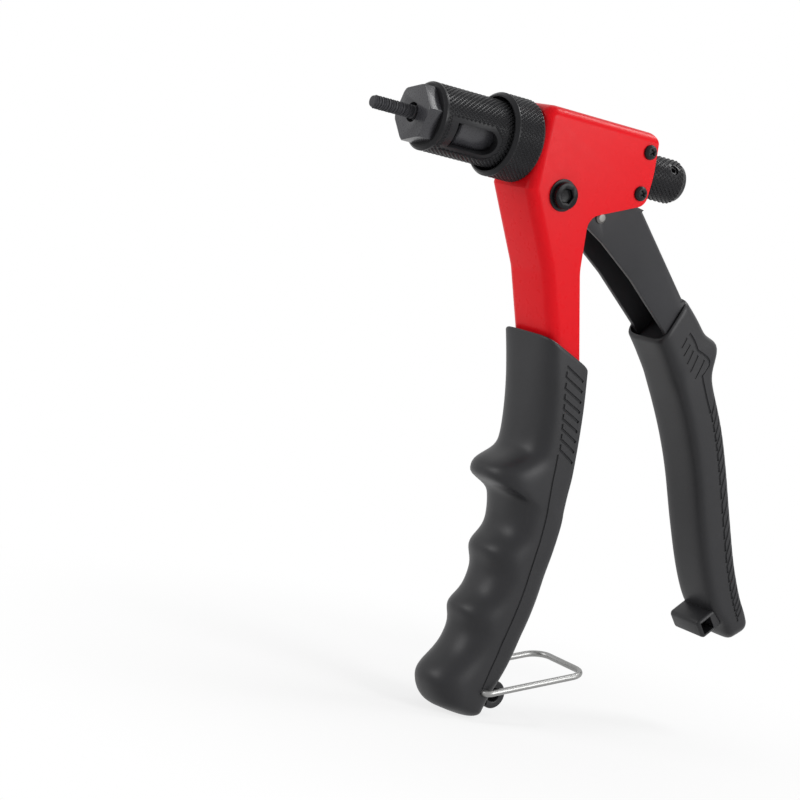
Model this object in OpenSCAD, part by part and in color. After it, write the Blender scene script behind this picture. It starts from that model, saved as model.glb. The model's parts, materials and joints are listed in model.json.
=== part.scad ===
// Hand rivet nut setter: two handles, one pull rod.
// X runs back along the nose axis, Y runs to the far side, Z is up.
// The origin is where the mandrel axis meets the front face of the nosepiece.

/* [Mandrel] */
// Radius of the thread that carries the rivet nut
rod_r = 2.5; // [1.5:0.1:2.8]
// Length of thread standing out of the nosepiece
rod_out = 17.3; // [8:0.1:30]
// Radius of the plain collar at the root of the thread
root_r = 3.3; // [3:0.1:3.5]
// How far the root collar stays behind the nosepiece's face
root_back = 2.2; // [1:0.1:3]
// Radius of the neck behind the collar
neck_r = 5.6; // [4.5:0.1:5.7]
// Width across the flats of the mandrel's hexagon
mandrel_af = 12; // [10:0.1:15]
// Length of the mandrel's hexagon
mandrel_hex_len = 4.2; // [3:0.1:6]
// Radius of the stud that screws into the chuck
stud_r = 4; // [3:0.1:5]
// Length of the stud
stud_len = 12; // [8:0.1:13]

/* [Nosepiece] */
// Width across the flats of the nosepiece
nose_af = 19; // [17:0.1:23]
// Length of the nosepiece's hexagon
nose_hex_len = 5.5; // [5.2:0.1:9]
// Depth of the bevel that takes the corners off the hexagon
nose_bevel = 0.7; // [0.4:0.1:1.6]
// How far the hexagon is turned about the nose axis
nose_turn = 17.6; // [0:0.1:30]
// Radius of the nosepiece's screw thread
nose_thread_r = 8; // [7:0.1:9]
// Length of the nosepiece's screw thread
nose_thread_len = 6; // [4:0.1:6.5]
// Thickness of the wall that the mandrel passes through
nose_wall = 4.3; // [3:0.1:5]

/* [Barrel] */
// Outer radius of the knurled barrel
barrel_r = 12.5; // [11.6:0.1:13.2]
// Length of the barrel
barrel_len = 39.1; // [36:0.1:50]
// Bore radius of the barrel around the chuck
barrel_bore_r = 9.2; // [8.9:0.1:9.8]
// Bevel at both ends of the barrel
barrel_bevel = 0.9; // [0.3:0.1:1.4]
// Distance from the barrel's front to the wrench window
window_start = 7.3; // [6.5:0.1:10]
// Length of the window along the axis
window_len = 18.4; // [15:0.1:20]
// Width of the window
window_w = 9; // [7:0.1:11]
// How far the window is turned down from the near side
window_turn = 23.5; // [0:0.5:60]
// Width of the smooth border around the window
window_border = 2.6; // [1:0.1:3]
// Depth of that border below the knurled surface
window_sink = 0.6; // [0.3:0.1:1]

/* [Lock ring] */
// Wall of the knurled lock ring around its recess
ring_wall = 1.8; // [1.2:0.1:4]
// Length of the lock ring
ring_len = 13.5; // [11.5:0.1:18]
// Clearance around the end of the barrel in the ring's recess
ring_gap = 1.2; // [0.5:0.1:1.5]
// Depth of that recess
ring_recess = 9; // [6:0.1:10]
// Bevel around the plain front rim
ring_bevel = 1.6; // [0.4:0.1:2]

/* [Front bush] */
// Thread radius of the bush that barrel and ring screw onto
bush_r = 10; // [9.9:0.1:10.6]
// Bore radius of the bush
bush_bore_r = 8.8; // [8.7:0.1:9.2]
// How far the bush reaches into the barrel
bush_reach = 12.5; // [8:0.1:14]
// Thickness of the flange inside the body
bush_flange_t = 3; // [2:0.1:4]

/* [Pull rod] */
// Radius of the chuck that holds the mandrel
chuck_r = 8.5; // [7.5:0.1:8.6]
// Length of the chuck
chuck_len = 31; // [28:0.1:33]
// Radius of the pull rod
pull_r = 5; // [4.2:0.1:5.4]
// Radius of the rod's screwed end inside the chuck
spigot_r = 4; // [3:0.1:4.1]
// Length of the rod's screwed end
spigot_len = 11; // [6:0.1:13]
// Radius of the thrust collar fixed to the rod
collar_r = 7.5; // [6.5:0.1:7.8]
// Length of the thrust collar
collar_len = 4; // [3:0.1:6]
// Thickness of the thrust washer
thrust_t = 1; // [0.5:0.1:1.5]
// Radius of the rear knob
knob_r = 8.6; // [7.5:0.1:11]
// Length of the rear knob
knob_len = 21; // [16:0.1:28]
// Rounding of the knob's rear edge
knob_round = 4; // [1:0.1:6]
// Gap between the rear block and the knob
knob_gap = 3.1; // [1:0.1:8]
// Depth of the rod's socket in the knob
knob_socket = 16.5; // [12:0.1:18]
// Distance from the knob's front to its set screw
set_screw_back = 12.9; // [8:0.1:13.5]
// Radius of the set screw
set_screw_r = 2; // [1.5:0.1:2.5]
// How far the set screw is turned up from the near side
set_screw_turn = 33; // [0:1:90]

/* [Yoke] */
// Length of the yoke block along the rod
yoke_len = 10; // [9:0.1:12]
// Side clearance of the yoke block in the lever
yoke_gap = 0.3; // [0.2:0.05:0.6]
// Height of the yoke block
yoke_h = 16; // [13:0.1:18]
// Radius of the drive pins pressed into the yoke
drive_pin_r = 3; // [2.5:0.1:3.4]
// Wall between the rod and the inner end of each drive pin
drive_pin_wall = 0.5; // [0.4:0.1:1.5]
// Distance from the pivot back to the drive pins
drive_pin_back = 10.5; // [10:0.1:12]

/* [Return spring] */
// Mean radius of the spring's turns
spring_r = 9; // [8.8:0.1:9.4]
// Radius of the spring's wire
spring_wire_r = 0.8; // [0.5:0.1:0.9]
// Number of turns
spring_turns = 5; // [3:1:6]

/* [Body] */
// Outer width of the pressed steel body
body_w = 26; // [25.5:0.1:30]
// Thickness of the body's sheet
sheet_t = 2; // [1.5:0.1:2.2]
// Outer radius of the body's bends
bend_r = 3; // [2.2:0.1:4]
// Length of the head from its front pad to its rear corners
head_len = 54; // [53:0.1:58]
// How far the rear edge bows out between its corners
head_bow = 1.1; // [0:0.1:2]
// Height of the head above the nose axis
head_top = 15.3; // [14.5:0.1:18]
// How far the front pad reaches below the nose axis
pad_drop = 16.5; // [16:0.1:20]
// Distance from the pad back to the handle pivot
pivot_back = 14.9; // [14.5:0.1:17]
// Distance of the pivot below the nose axis
pivot_drop = 15.7; // [15:0.1:17]
// How far behind the pad the front of the handle has its knee
knee_back = 16.6; // [14:0.1:18]
// Depth of that knee below the nose axis
knee_drop = 45; // [42:0.1:48]
// Lean of the handle below its knee
lower_lean = 21.8; // [20:0.1:24]
// Length of the straight handle below its knee
lower_len = 33; // [32:0.1:36]
// Front-to-back depth of the handle where it enters the grip
tang_depth = 13; // [11:0.1:13.4]
// Length of the tang inside the grip
tang_len = 40; // [20:0.1:44]

/* [Rear block] */
// Length of the block that carries the rear of the rod
block_len = 6; // [5:0.1:7]
// Height of the block
block_h = 22; // [20:0.1:23]
// Depth of the spring's seat in the block
block_seat = 2; // [1:0.1:3]
// Spacing of the screws above each other
screw_spacing = 15.8; // [15.5:0.1:16.5]
// Radius of the screws
screw_r = 1.5; // [1:0.1:2]
// Radius of the screw heads
screw_head_r = 2.8; // [2.2:0.1:3]
// Height of the screw heads
screw_head_h = 1.9; // [1:0.1:2.5]
// Distance of the screws' tips from the middle of the tool
screw_tip = 6.4; // [5.5:0.1:8]

/* [Handle pivot] */
// Radius of the pivot bolt
bolt_r = 3; // [2.5:0.1:3.3]
// Radius of the bolt's head
bolt_head_r = 5; // [4.6:0.1:6]
// Height of the bolt's head
bolt_head_h = 2.4; // [2:0.1:6]
// Width across the flats of the bolt's socket
bolt_socket_af = 5; // [3:0.1:5.5]
// Radius of the washers under bolt and nut
bolt_washer_r = 6; // [5.5:0.1:7]
// Thickness of those washers
bolt_washer_t = 0.6; // [0.4:0.1:1.5]
// Width across the flats of the nut
nut_af = 10; // [8.5:0.1:11.5]
// Height of the nut
nut_h = 5; // [3:0.1:7]
// Radius of the sleeve that the lever turns on
sleeve_r = 4.5; // [4:0.1:5]

/* [Lever] */
// Side clearance of the lever in the body
lever_gap = 0.6; // [0.5:0.05:0.8]
// Thickness of the lever's sheet
lever_t = 2; // [1.6:0.1:2.05]
// Radius of the lever's eye around the pivot
lever_eye_r = 8; // [7:0.1:8.5]
// Outer radius of the lever's bends
lever_bend_r = 3; // [2.2:0.1:4]
// Full travel of the lever
lever_travel = 19.5; // [12:0.5:20]
// Radius of the cross pin through the lever
cross_pin_r = 1.5; // [1:0.1:2]
// Radius of the cross pin's heads
cross_pin_head_r = 2.2; // [2:0.1:2.6]

/* [Grips] */
// Wall of the front grip beside the body
grip_wall = 3; // [2.6:0.1:4]
// Half width of the front grip at its foot
grip_foot_half = 13.2; // [11:0.1:13.3]
// How far the first finger ridge stands out
ridge_1 = 12; // [4:0.1:15]
// How far the second finger ridge stands out
ridge_2 = 5.1; // [2:0.1:7]
// How far the third finger ridge stands out
ridge_3 = 4; // [2:0.1:7]
// How far the heel of the grip stands out
ridge_heel = 8.8; // [4:0.1:10]
// Wall of the rear grip beside the lever
rear_grip_wall = 1.6; // [1.4:0.1:2.6]
// How far the thumb rest stands out
thumb_rest = 6.5; // [2:0.1:8]
// Width of the hollow stop lug
lug_w = 18; // [14:0.1:22]
// Length of the lug along the grip
lug_len = 8.4; // [7:0.1:10]
// How far the lug stands out
lug_out = 8.2; // [7:0.1:10]
// Size of the square hole through the lug
lug_hole = 5.4; // [3:0.1:6]
// Outer radius of the eye at the foot of the front grip
eye_r = 5.5; // [4:0.1:6]
// Radius of the hole in that eye
eye_hole_r = 2.7; // [1.5:0.1:3]
// Width of the eye
eye_w = 12; // [8:0.1:16]

/* [Wire bail] */
// Radius of the bail's wire
bail_wire_r = 1.25; // [0.8:0.05:1.3]
// Clearance of the bail's legs beside the foot of the grip
bail_side = 1; // [0.9:0.1:3]
// Length of the bail from its hinge to its crossbar
bail_len = 47.5; // [43:0.1:48]
// Bend radius of the bail's outer corners
bail_corner_r = 7; // [4:0.1:10]
// Bend radius where each leg turns in to its hinge hole
bail_hook_r = 2.5; // [2:0.1:4]
// Depth of the bail's ends in the grip
bail_hook = 4; // [2:0.1:6]
// Angle of the bail above level
bail_angle = 14; // [0:1:30]

/* [Hidden] */
$fn = 64;

// Running clearance of shafts and pins
fit = 0.05;
// Clearance between flat faces that slide past each other
face_gap = 0.1;
// Clearance of the root collar and the neck in the nosepiece
nose_fit = 0.3;
// Overlap of cutting tools
cut = 1;
// Length of tools that cut right through
far = 300;
// The bend's curve crosses the flat faces at a slight angle
bend_ease = 1.02;
// Straight pieces in each rounded corner
arc_steps = 6;

black_oxide = [0.12, 0.12, 0.13];
red_paint = [0.80, 0.05, 0.07];
grip_black = [0.19, 0.19, 0.20];
bright_steel = [0.75, 0.75, 0.76];
satin_black = [0.16, 0.16, 0.17];
spring_steel = [0.55, 0.55, 0.57];

// Stations along the nose axis
barrel_front = nose_hex_len;
barrel_back = barrel_front + barrel_len;
ring_back = barrel_back + face_gap + ring_len - ring_recess;
ring_front = ring_back - ring_len;
pad_x = ring_back + face_gap;
bush_front = barrel_back - bush_reach;
flange_x = pad_x + sheet_t;
mandrel_hex_x = nose_hex_len + nose_thread_len + nose_fit;
chuck_x = mandrel_hex_x + mandrel_hex_len;
chuck_back = chuck_x + chuck_len;
pivot_x = pad_x + pivot_back;
pivot_z = -pivot_drop;
yoke_x = pivot_x + drive_pin_back - yoke_len / 2;
thrust_x = yoke_x + yoke_len;
collar_x = thrust_x + thrust_t;
head_back = pad_x + head_len;
block_x = head_back - block_len - 0.4;
knob_x = block_x + block_len + knob_gap;
rod_back = knob_x + knob_socket;

// The lock ring fits around the barrel
ring_recess_r = barrel_r + ring_gap;
ring_r = ring_recess_r + ring_wall;

// Half widths across the tool
body_half = body_w / 2;
inner_half = body_half - sheet_t;
lever_half = inner_half - lever_gap;
lever_inner = lever_half - lever_t;
yoke_half = lever_inner - yoke_gap;
drive_pin_start = pull_r + drive_pin_wall;
screw_depth = inner_half - screw_tip;
grip_half = body_half + grip_wall;
rear_grip_half = lever_half + rear_grip_wall;
bail_w = 2 * (grip_foot_half + bail_wire_r + bail_side);
bolt_face = body_half + bolt_washer_t;

// Helpers for vectors and rounded outlines
function unit(v) = v / norm(v);
function left_of(v) = [-v.y, v.x];
function turned(v, a) = [v.x * cos(a) - v.y * sin(a), v.x * sin(a) + v.y * cos(a)];

// Arc that rounds the corner at b between the sides to a and c
function corner(a, b, c, r) =
    let (p = unit(a - b), q = unit(c - b))
    let (half = acos(p * q) / 2)
    let (mid = b + unit(p + q) * r / sin(half))
    let (s = b + p * r / tan(half) - mid)
    let (e = b + q * r / tan(half) - mid)
    let (sweep = sign(s.x * e.y - s.y * e.x) * (180 - 2 * half))
    [for (i = [0 : arc_steps]) mid + turned(s, sweep * i / arc_steps)];

// Outline through points [x, z, corner radius]
function rounded(path) =
    let (n = len(path))
    let (flat = [for (p = path) [p[0], p[1]]])
    [for (i = [0 : n - 1])
        each path[i][2] == 0
            ? [flat[i]]
            : corner(flat[(i + n - 1) % n], flat[i], flat[(i + 1) % n], path[i][2])];

// Points of a path moved sideways by d, to the left of its direction
function moved(path, d) =
    let (n = len(path) - 1)
    [for (i = [0 : n])
        let (u = left_of(unit(path[max(i, 1)] - path[max(i, 1) - 1])))
        let (v = left_of(unit(path[min(i, n - 1) + 1] - path[min(i, n - 1)])))
        path[i] + (u + v) * d / (1 + u * v)];

// Cylinder along the nose axis from x0 to x1
module along_x(x0, x1, r) {
    translate([x0, 0, 0])
        rotate([0, 90, 0])
            cylinder(h = x1 - x0, r = r);
}

// Hexagon along the nose axis from x0 to x1, with a corner on top
module hex_along_x(x0, x1, af) {
    translate([x0, 0, 0])
        rotate([0, 90, 0])
            cylinder(h = x1 - x0, r = af / sqrt(3), $fn = 6);
}

// Solid of revolution about the nose axis, from points [radius, x]
module turned_about_x(points) {
    rotate([0, 90, 0])
        rotate_extrude()
            polygon(points);
}

// Cylinder across the tool at x, z from y0 to y1
module across(x, z, y0, y1, r, sides = $fn) {
    translate([x, y0, z])
        rotate([-90, 0, 0])
            cylinder(h = y1 - y0, r = r, $fn = sides);
}

// Outline in the side view, made solid from y0 to y1
module slab(y0, y1) {
    translate([0, y1, 0])
        rotate([90, 0, 0])
            linear_extrude(y1 - y0)
                children();
}

// Tool that rounds the two edges of a pressed channel along the side from a to b
module bend_cut(a, b, half, r) {
    run = norm(b - a);
    translate([a.x, 0, a.y])
        rotate([0, atan2(b.x - a.x, b.y - a.y), 0])
            for (side = [-1, 1])
                difference() {
                    translate([-cut, side * half - (side > 0 ? r : cut), -0.3])
                        cube([r + cut, r + cut, run + 0.6]);
                    translate([r, side * (half - r), -cut])
                        cylinder(h = run + 2 * cut, r = r * bend_ease);
                }
}

// Smooth curve through a list of stations
function eased(a, b, c, d, t) =
    b + (c - a) * t / 2 + (a - 2.5 * b + 2 * c - d / 2) * t * t
        + (1.5 * (b - c) + (d - a) / 2) * t * t * t;
function station(list, u) =
    let (last = len(list) - 1)
    let (i = min(floor(u), last - 1))
    eased(list[max(i - 1, 0)], list[i], list[i + 1], list[min(i + 2, last)], u - i);

// Bell curve of a ridge, centred at z0 and as wide as its spread
function ridge(z, z0, spread, height) = height * exp(-pow((z - z0) / spread, 2));

// Closed ring between a front and a rear point, squarer for higher powers
ring_points = 28;
function power_cos(a, n) = sign(cos(a)) * pow(abs(cos(a)), 2 / n);
function power_sin(a, n) = sign(sin(a)) * pow(abs(sin(a)), 2 / n);
function loop_of(front, rear, half, n_front, n_rear) =
    let (mid = (front + rear) / 2, arm = (rear - front) / 2)
    [for (k = [0 : ring_points - 1])
        let (a = 360 * (k + 0.5) / ring_points)
        let (n = cos(a) > 0 ? n_rear : n_front)
        let (p = mid + arm * power_cos(a, n))
        [p.x, half * power_sin(a, n), p.y]];

// Solid through a row of rings, each with the same number of points
module loft(rings, closed = true) {
    n = len(rings[0]);
    last = (len(rings) - 1) * n;
    sides = [for (i = [0 : len(rings) - 2], k = [0 : n - 1])
        let (m = (k + 1) % n)
        each [
            [i * n + k, i * n + m, (i + 1) * n + m],
            [i * n + k, (i + 1) * n + m, (i + 1) * n + k]
        ]];
    top = [for (k = [n - 1 : -1 : 0]) k];
    bottom = [for (k = [0 : n - 1]) last + k];
    polyhedron([for (r = rings) each r], concat([top], sides, [bottom]));
}

// Side view of the body
knee = [pad_x + knee_back, -knee_drop];
lean = [sin(lower_lean), -cos(lower_lean)];
grip_front = knee + lean * lower_len;
grip_back = grip_front + [tang_depth, -1.5];
// The tang leans less than the handle, to stay inside the curved grip
tang_lean = [0.17, -1];
heel_corner = [pad_x + 29.2, -21.2];
rear_low = [head_back + 0.4, -11.8];
body_front_path = [
    [pad_x, head_top],
    [pad_x, -pad_drop],
    knee,
    grip_front,
    grip_front + tang_lean * tang_len
];
body_rear_path = [
    grip_back + tang_lean * tang_len,
    grip_back,
    [pad_x + 31.2, -41.5],
    heel_corner,
    rear_low,
    [head_back + head_bow, 1],
    [head_back, head_top]
];
body_front_radii = [2, 1.5, 12, 20, 0];
body_rear_radii = [0, 20, 24, 6, 5, 60, 4];
body_outline = rounded(concat(
    [for (i = [0 : 4]) [body_front_path[i].x, body_front_path[i].y, body_front_radii[i]]],
    [for (i = [0 : 6]) [body_rear_path[i].x, body_rear_path[i].y, body_rear_radii[i]]]));

// Space inside the bent sheet, open to the rear and below
module body_space() {
    wall = moved(body_front_path, sheet_t);
    slab(-inner_half, inner_half)
        polygon(concat(
            [[far, head_top - sheet_t], [wall[0].x, head_top - sheet_t]],
            [for (i = [1 : 4]) wall[i]],
            [wall[4] + [0, -far], [far, -far]]));
}

module screw_sites() {
    for (side = [-1, 1], level = [-1, 1])
        translate([block_x + block_len / 2, side * body_half, level * screw_spacing / 2])
            rotate([-side * 90, 0, 0])
                children();
}

module body_frame() {
    color(red_paint)
        difference() {
            slab(-body_half, body_half)
                polygon(body_outline);
            body_space();
            for (i = [0 : 2])
                bend_cut(body_front_path[i + 1], body_front_path[i], body_half, bend_r);
            bend_cut([pad_x - cut, head_top], [head_back + 2, head_top], body_half, bend_r);
            along_x(pad_x - cut, flange_x + cut, bush_r + fit);
            across(pivot_x, pivot_z, -body_half - cut, body_half + cut, bolt_r + fit);
            screw_sites()
                translate([0, 0, -sheet_t - cut])
                    cylinder(h = sheet_t + 2 * cut, r = screw_r + fit);
        }
}

// Front grip: stations of front point, rear point and half width, from top to foot
grip_stations = [
    [pad_x + 22.4, -67.1, pad_x + 46.7, -76.9, grip_half],
    [pad_x + 27.2, -86.3, pad_x + 49.2, -92.7, grip_half],
    [pad_x + 29.3, -104.1, pad_x + 51.1, -110.8, grip_half - 0.2],
    [pad_x + 28.9, -123.7, pad_x + 52.6, -131, grip_half - 0.7],
    [pad_x + 30.8, -144.5, pad_x + 51.3, -151.1, grip_half - 1.4],
    [pad_x + 27.1, -164.3, pad_x + 48.8, -172.3, grip_foot_half + 0.7],
    [pad_x + 23, -184.1, pad_x + 44.4, -191.9, grip_foot_half],
    [pad_x + 22, -202.7, pad_x + 38, -208.3, grip_foot_half],
    [pad_x + 19.5, -212, pad_x + 36.5, -217.6, grip_foot_half - 1]
];
grip_rings = 44;
// The rim at the top and the dome at the foot close the grip in these shares of its length
grip_rim = 0.012;
grip_dome = 0.07;
function dome(t, share) = t > 1 - share ? sqrt(1 - pow((t - 1 + share) / share, 2) * 0.94) : 1;
function rim(t, share, depth) = t < share ? 1 - depth * pow(1 - t / share, 2) : 1;
function grip_ring(t) =
    let (s = station(grip_stations, t * (len(grip_stations) - 1)))
    let (rear = [s[2], s[3]], base = [s[0], s[1]])
    let (out = ridge(base.y, -120.6, 6.5, ridge_1) + ridge(base.y, -150.3, 6, ridge_2)
        + ridge(base.y, -174, 5.2, ridge_3) + ridge(base.y, -201.5, 9.3, ridge_heel))
    let (front = base - [out, 0])
    let (size = dome(t, grip_dome) * rim(t, grip_rim, 0.05))
    let (mid = (front + rear) / 2)
    let (front_power = 2.3 + 3 * exp(-t * 6))
    loop_of(mid + (front - mid) * size, mid + (rear - mid) * size, s[4] * size, front_power, 5);

eye_x = pad_x + 43.8;
eye_z = -206.1;
bail_x = pad_x + 32.9;
bail_z = -203.8;

module front_grip() {
    color(grip_black)
        difference() {
            union() {
                loft([for (i = [0 : grip_rings])
                    grip_ring(i / grip_rings < 0.03 ? i / grip_rings / 2 : i / grip_rings)]);
                across(eye_x, eye_z, -eye_w / 2, eye_w / 2, eye_r);
                slab(-eye_w / 2, eye_w / 2)
                    polygon([
                        [bail_x - 4, eye_z + 4.5],
                        [eye_x, eye_z + eye_r],
                        [eye_x, eye_z - eye_r],
                        [bail_x - 4, eye_z - 4.5]
                    ]);
            }
            slab(-body_half, body_half)
                polygon(body_outline);
            across(eye_x, eye_z, -eye_w, eye_w, eye_hole_r);
            for (side = [0, 1])
                mirror([0, side, 0])
                    across(bail_x, bail_z, bail_w / 2 - bail_hook_r - bail_hook - 1, body_w,
                        bail_wire_r + fit);
        }
}

module front_bush() {
    color(black_oxide)
        difference() {
            union() {
                along_x(bush_front, flange_x, bush_r);
                translate([flange_x, -inner_half, -bush_r - 2])
                    cube([bush_flange_t, 2 * inner_half, 2 * bush_r + 4]);
            }
            along_x(bush_front - cut, flange_x + bush_flange_t + cut, bush_bore_r);
        }
}

module rear_block() {
    color(black_oxide)
        difference() {
            translate([block_x, -inner_half, -block_h / 2])
                cube([block_len, 2 * inner_half, block_h]);
            along_x(block_x - cut, block_x + block_len + cut, pull_r + fit);
            along_x(block_x - cut, block_x + block_seat, spring_r + spring_wire_r + 0.3);
            screw_sites()
                translate([0, 0, -sheet_t - screw_depth])
                    cylinder(h = screw_depth + cut, r = screw_r);
        }
}

module rear_screws() {
    color(black_oxide)
        screw_sites() {
            translate([0, 0, -sheet_t - screw_depth])
                cylinder(h = sheet_t + screw_depth, r = screw_r);
            rotate_extrude()
                polygon(concat(
                    [[0, 0], [screw_head_r, 0]],
                    [for (a = [0 : 15 : 90])
                        [screw_head_r - 0.8 * (1 - cos(a)), screw_head_h - 0.8 * (1 - sin(a))]],
                    [[0, screw_head_h]]));
        }
}

module pivot_bolt() {
    color(black_oxide)
        difference() {
            union() {
                across(pivot_x, pivot_z, -bolt_face, bolt_face + nut_h, bolt_r);
                across(pivot_x, pivot_z, -bolt_face - bolt_head_h, -bolt_face, bolt_head_r);
            }
            across(pivot_x, pivot_z, -bolt_face - bolt_head_h - cut, -bolt_face - bolt_head_h * 0.3,
                bolt_socket_af / sqrt(3), 6);
        }
}

module bolt_washers() {
    color(black_oxide)
        for (side = [0, 1])
            mirror([0, side, 0])
                difference() {
                    across(pivot_x, pivot_z, body_half, bolt_face, bolt_washer_r);
                    across(pivot_x, pivot_z, body_half - cut, bolt_face + cut, bolt_r + fit);
                }
}

module pivot_nut() {
    color(black_oxide)
        difference() {
            across(pivot_x, pivot_z, bolt_face, bolt_face + nut_h, nut_af / sqrt(3), 6);
            across(pivot_x, pivot_z, bolt_face - cut, bolt_face + nut_h + cut, bolt_r);
        }
}

module pivot_sleeve() {
    color(bright_steel)
        difference() {
            across(pivot_x, pivot_z, -inner_half, inner_half, sleeve_r);
            across(pivot_x, pivot_z, -inner_half - cut, inner_half + cut, bolt_r + fit);
        }
}

module lever_washers() {
    color(bright_steel)
        for (side = [0, 1])
            mirror([0, side, 0])
                difference() {
                    across(pivot_x, pivot_z, lever_half + fit, inner_half, lever_eye_r - 0.5);
                    across(pivot_x, pivot_z, lever_half - cut, inner_half + cut, sleeve_r);
                }
}

module lock_ring() {
    color(black_oxide)
        difference() {
            turned_about_x([
                [0, ring_front],
                [ring_r - ring_bevel, ring_front],
                [ring_r, ring_front + ring_bevel],
                [ring_r, ring_back - 0.6],
                [ring_r - 0.6, ring_back],
                [0, ring_back]
            ]);
            along_x(ring_front - cut, ring_front + ring_recess, ring_recess_r);
            along_x(ring_front, ring_back + cut, bush_r + fit);
        }
}

module barrel() {
    color(black_oxide)
        difference() {
            turned_about_x([
                [0, barrel_front],
                [barrel_r - barrel_bevel, barrel_front],
                [barrel_r, barrel_front + barrel_bevel],
                [barrel_r, barrel_back - barrel_bevel],
                [barrel_r - barrel_bevel, barrel_back],
                [0, barrel_back]
            ]);
            along_x(barrel_front - cut, barrel_back, nose_thread_r);
            along_x(barrel_front + nose_thread_len, barrel_back, barrel_bore_r);
            along_x(bush_front - face_gap, barrel_back + cut, bush_r + fit);
            rotate([window_turn, 0, 0]) {
                window_tool(0);
                difference() {
                    window_tool(window_border);
                    along_x(0, far, barrel_r - window_sink);
                }
            }
        }
}

// Window with a straight front end and a round rear end, on the near side
module window_tool(border) {
    x0 = barrel_front + window_start;
    x1 = x0 + window_len - window_w / 2;
    half = window_w / 2 + border;
    translate([x0 - border, -far, -half])
        cube([x1 - x0 + border, far, 2 * half]);
    across(x1, 0, -far, 0, half);
}

module nosepiece() {
    hex_r = nose_af / sqrt(3);
    color(black_oxide)
        difference() {
            union() {
                intersection() {
                    rotate([nose_turn, 0, 0])
                        hex_along_x(0, nose_hex_len, nose_af);
                    turned_about_x([
                        [0, 0],
                        [hex_r - nose_bevel, 0],
                        [hex_r + 0.1, nose_bevel * 0.7],
                        [hex_r + 0.1, nose_hex_len],
                        [0, nose_hex_len]
                    ]);
                }
                along_x(nose_hex_len, nose_hex_len + nose_thread_len, nose_thread_r);
            }
            along_x(-cut, nose_wall + cut, root_r + nose_fit);
            along_x(nose_wall, nose_hex_len + nose_thread_len + cut, neck_r + nose_fit);
        }
}

module mandrel() {
    color(black_oxide) {
        turned_about_x([
            [0, -rod_out],
            [rod_r - 0.5, -rod_out],
            [rod_r, -rod_out + 0.5],
            [rod_r, root_back],
            [root_r, root_back],
            [root_r, nose_wall + face_gap],
            [neck_r, nose_wall + face_gap],
            [neck_r, mandrel_hex_x],
            [0, mandrel_hex_x]
        ]);
        hex_along_x(mandrel_hex_x, chuck_x, mandrel_af);
        along_x(chuck_x, chuck_x + stud_len, stud_r);
    }
}

module chuck() {
    color(black_oxide)
        difference() {
            along_x(chuck_x, chuck_back, chuck_r);
            along_x(chuck_x - cut, chuck_x + stud_len + 2, stud_r);
            along_x(chuck_back - spigot_len, chuck_back + cut, spigot_r);
        }
}

module pull_rod() {
    color(bright_steel) {
        along_x(chuck_back - spigot_len, chuck_back, spigot_r);
        along_x(chuck_back, rod_back, pull_r);
    }
}

module rod_collar() {
    color(black_oxide)
        difference() {
            along_x(collar_x, collar_x + collar_len, collar_r);
            along_x(collar_x - cut, collar_x + collar_len + cut, pull_r);
        }
}

module thrust_washer() {
    color(bright_steel)
        difference() {
            along_x(thrust_x, collar_x - fit, collar_r);
            along_x(thrust_x - cut, collar_x + cut, pull_r + fit);
        }
}

module yoke_block() {
    color(black_oxide)
        difference() {
            translate([yoke_x, -yoke_half, -yoke_h / 2])
                cube([yoke_len, 2 * yoke_half, yoke_h]);
            along_x(yoke_x - cut, thrust_x + cut, pull_r + fit);
            for (side = [0, 1])
                mirror([0, side, 0])
                    across(yoke_x + yoke_len / 2, 0, drive_pin_start, body_w, drive_pin_r);
        }
}

module drive_pins() {
    color(bright_steel)
        for (side = [0, 1])
            mirror([0, side, 0])
                across(yoke_x + yoke_len / 2, 0, drive_pin_start, lever_half, drive_pin_r);
}

// Closed coil between the yoke and its seat in the rear block
module return_spring() {
    steps = 18 * spring_turns;
    sides = 8;
    x0 = thrust_x + spring_wire_r;
    run = block_x + block_seat - spring_wire_r - x0;
    color(spring_steel)
        loft([for (j = [0 : steps])
            let (a = -360 * spring_turns * j / steps)
            [for (k = [0 : sides - 1])
                let (b = 360 * k / sides)
                let (r = spring_r + spring_wire_r * cos(b))
                [x0 + run * j / steps + spring_wire_r * sin(b), r * cos(a), r * sin(a)]]]);
}

module rear_knob() {
    knob_back = knob_x + knob_len;
    color(black_oxide)
        difference() {
            turned_about_x(concat(
                [[0, knob_x], [knob_r - 0.6, knob_x], [knob_r, knob_x + 0.6]],
                [for (a = [0 : 15 : 90])
                    [knob_r - knob_round * (1 - cos(a)), knob_back - knob_round * (1 - sin(a))]],
                [[0, knob_back]]));
            along_x(knob_x - cut, rod_back, pull_r);
            set_screw_place(pull_r - cut, knob_r + cut);
        }
}

module set_screw_place(r0, r1) {
    rotate([-set_screw_turn, 0, 0])
        across(knob_x + set_screw_back, 0, -r1, -r0, set_screw_r);
}

module knob_set_screw() {
    color(black_oxide)
        intersection() {
            set_screw_place(0, knob_r - 0.4);
            difference() {
                along_x(knob_x, knob_x + knob_len, knob_r - 0.4);
                along_x(knob_x - cut, knob_x + knob_len + cut, pull_r);
            }
        }
}

// Flank that drives the pins: an involute of the circle that touches the nose axis,
// so the rod moves in proportion to the lever's angle
function flank(a) =
    turned([drive_pin_back + pivot_drop * a * PI / 180 - drive_pin_r - fit, pivot_drop], a);

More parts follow.
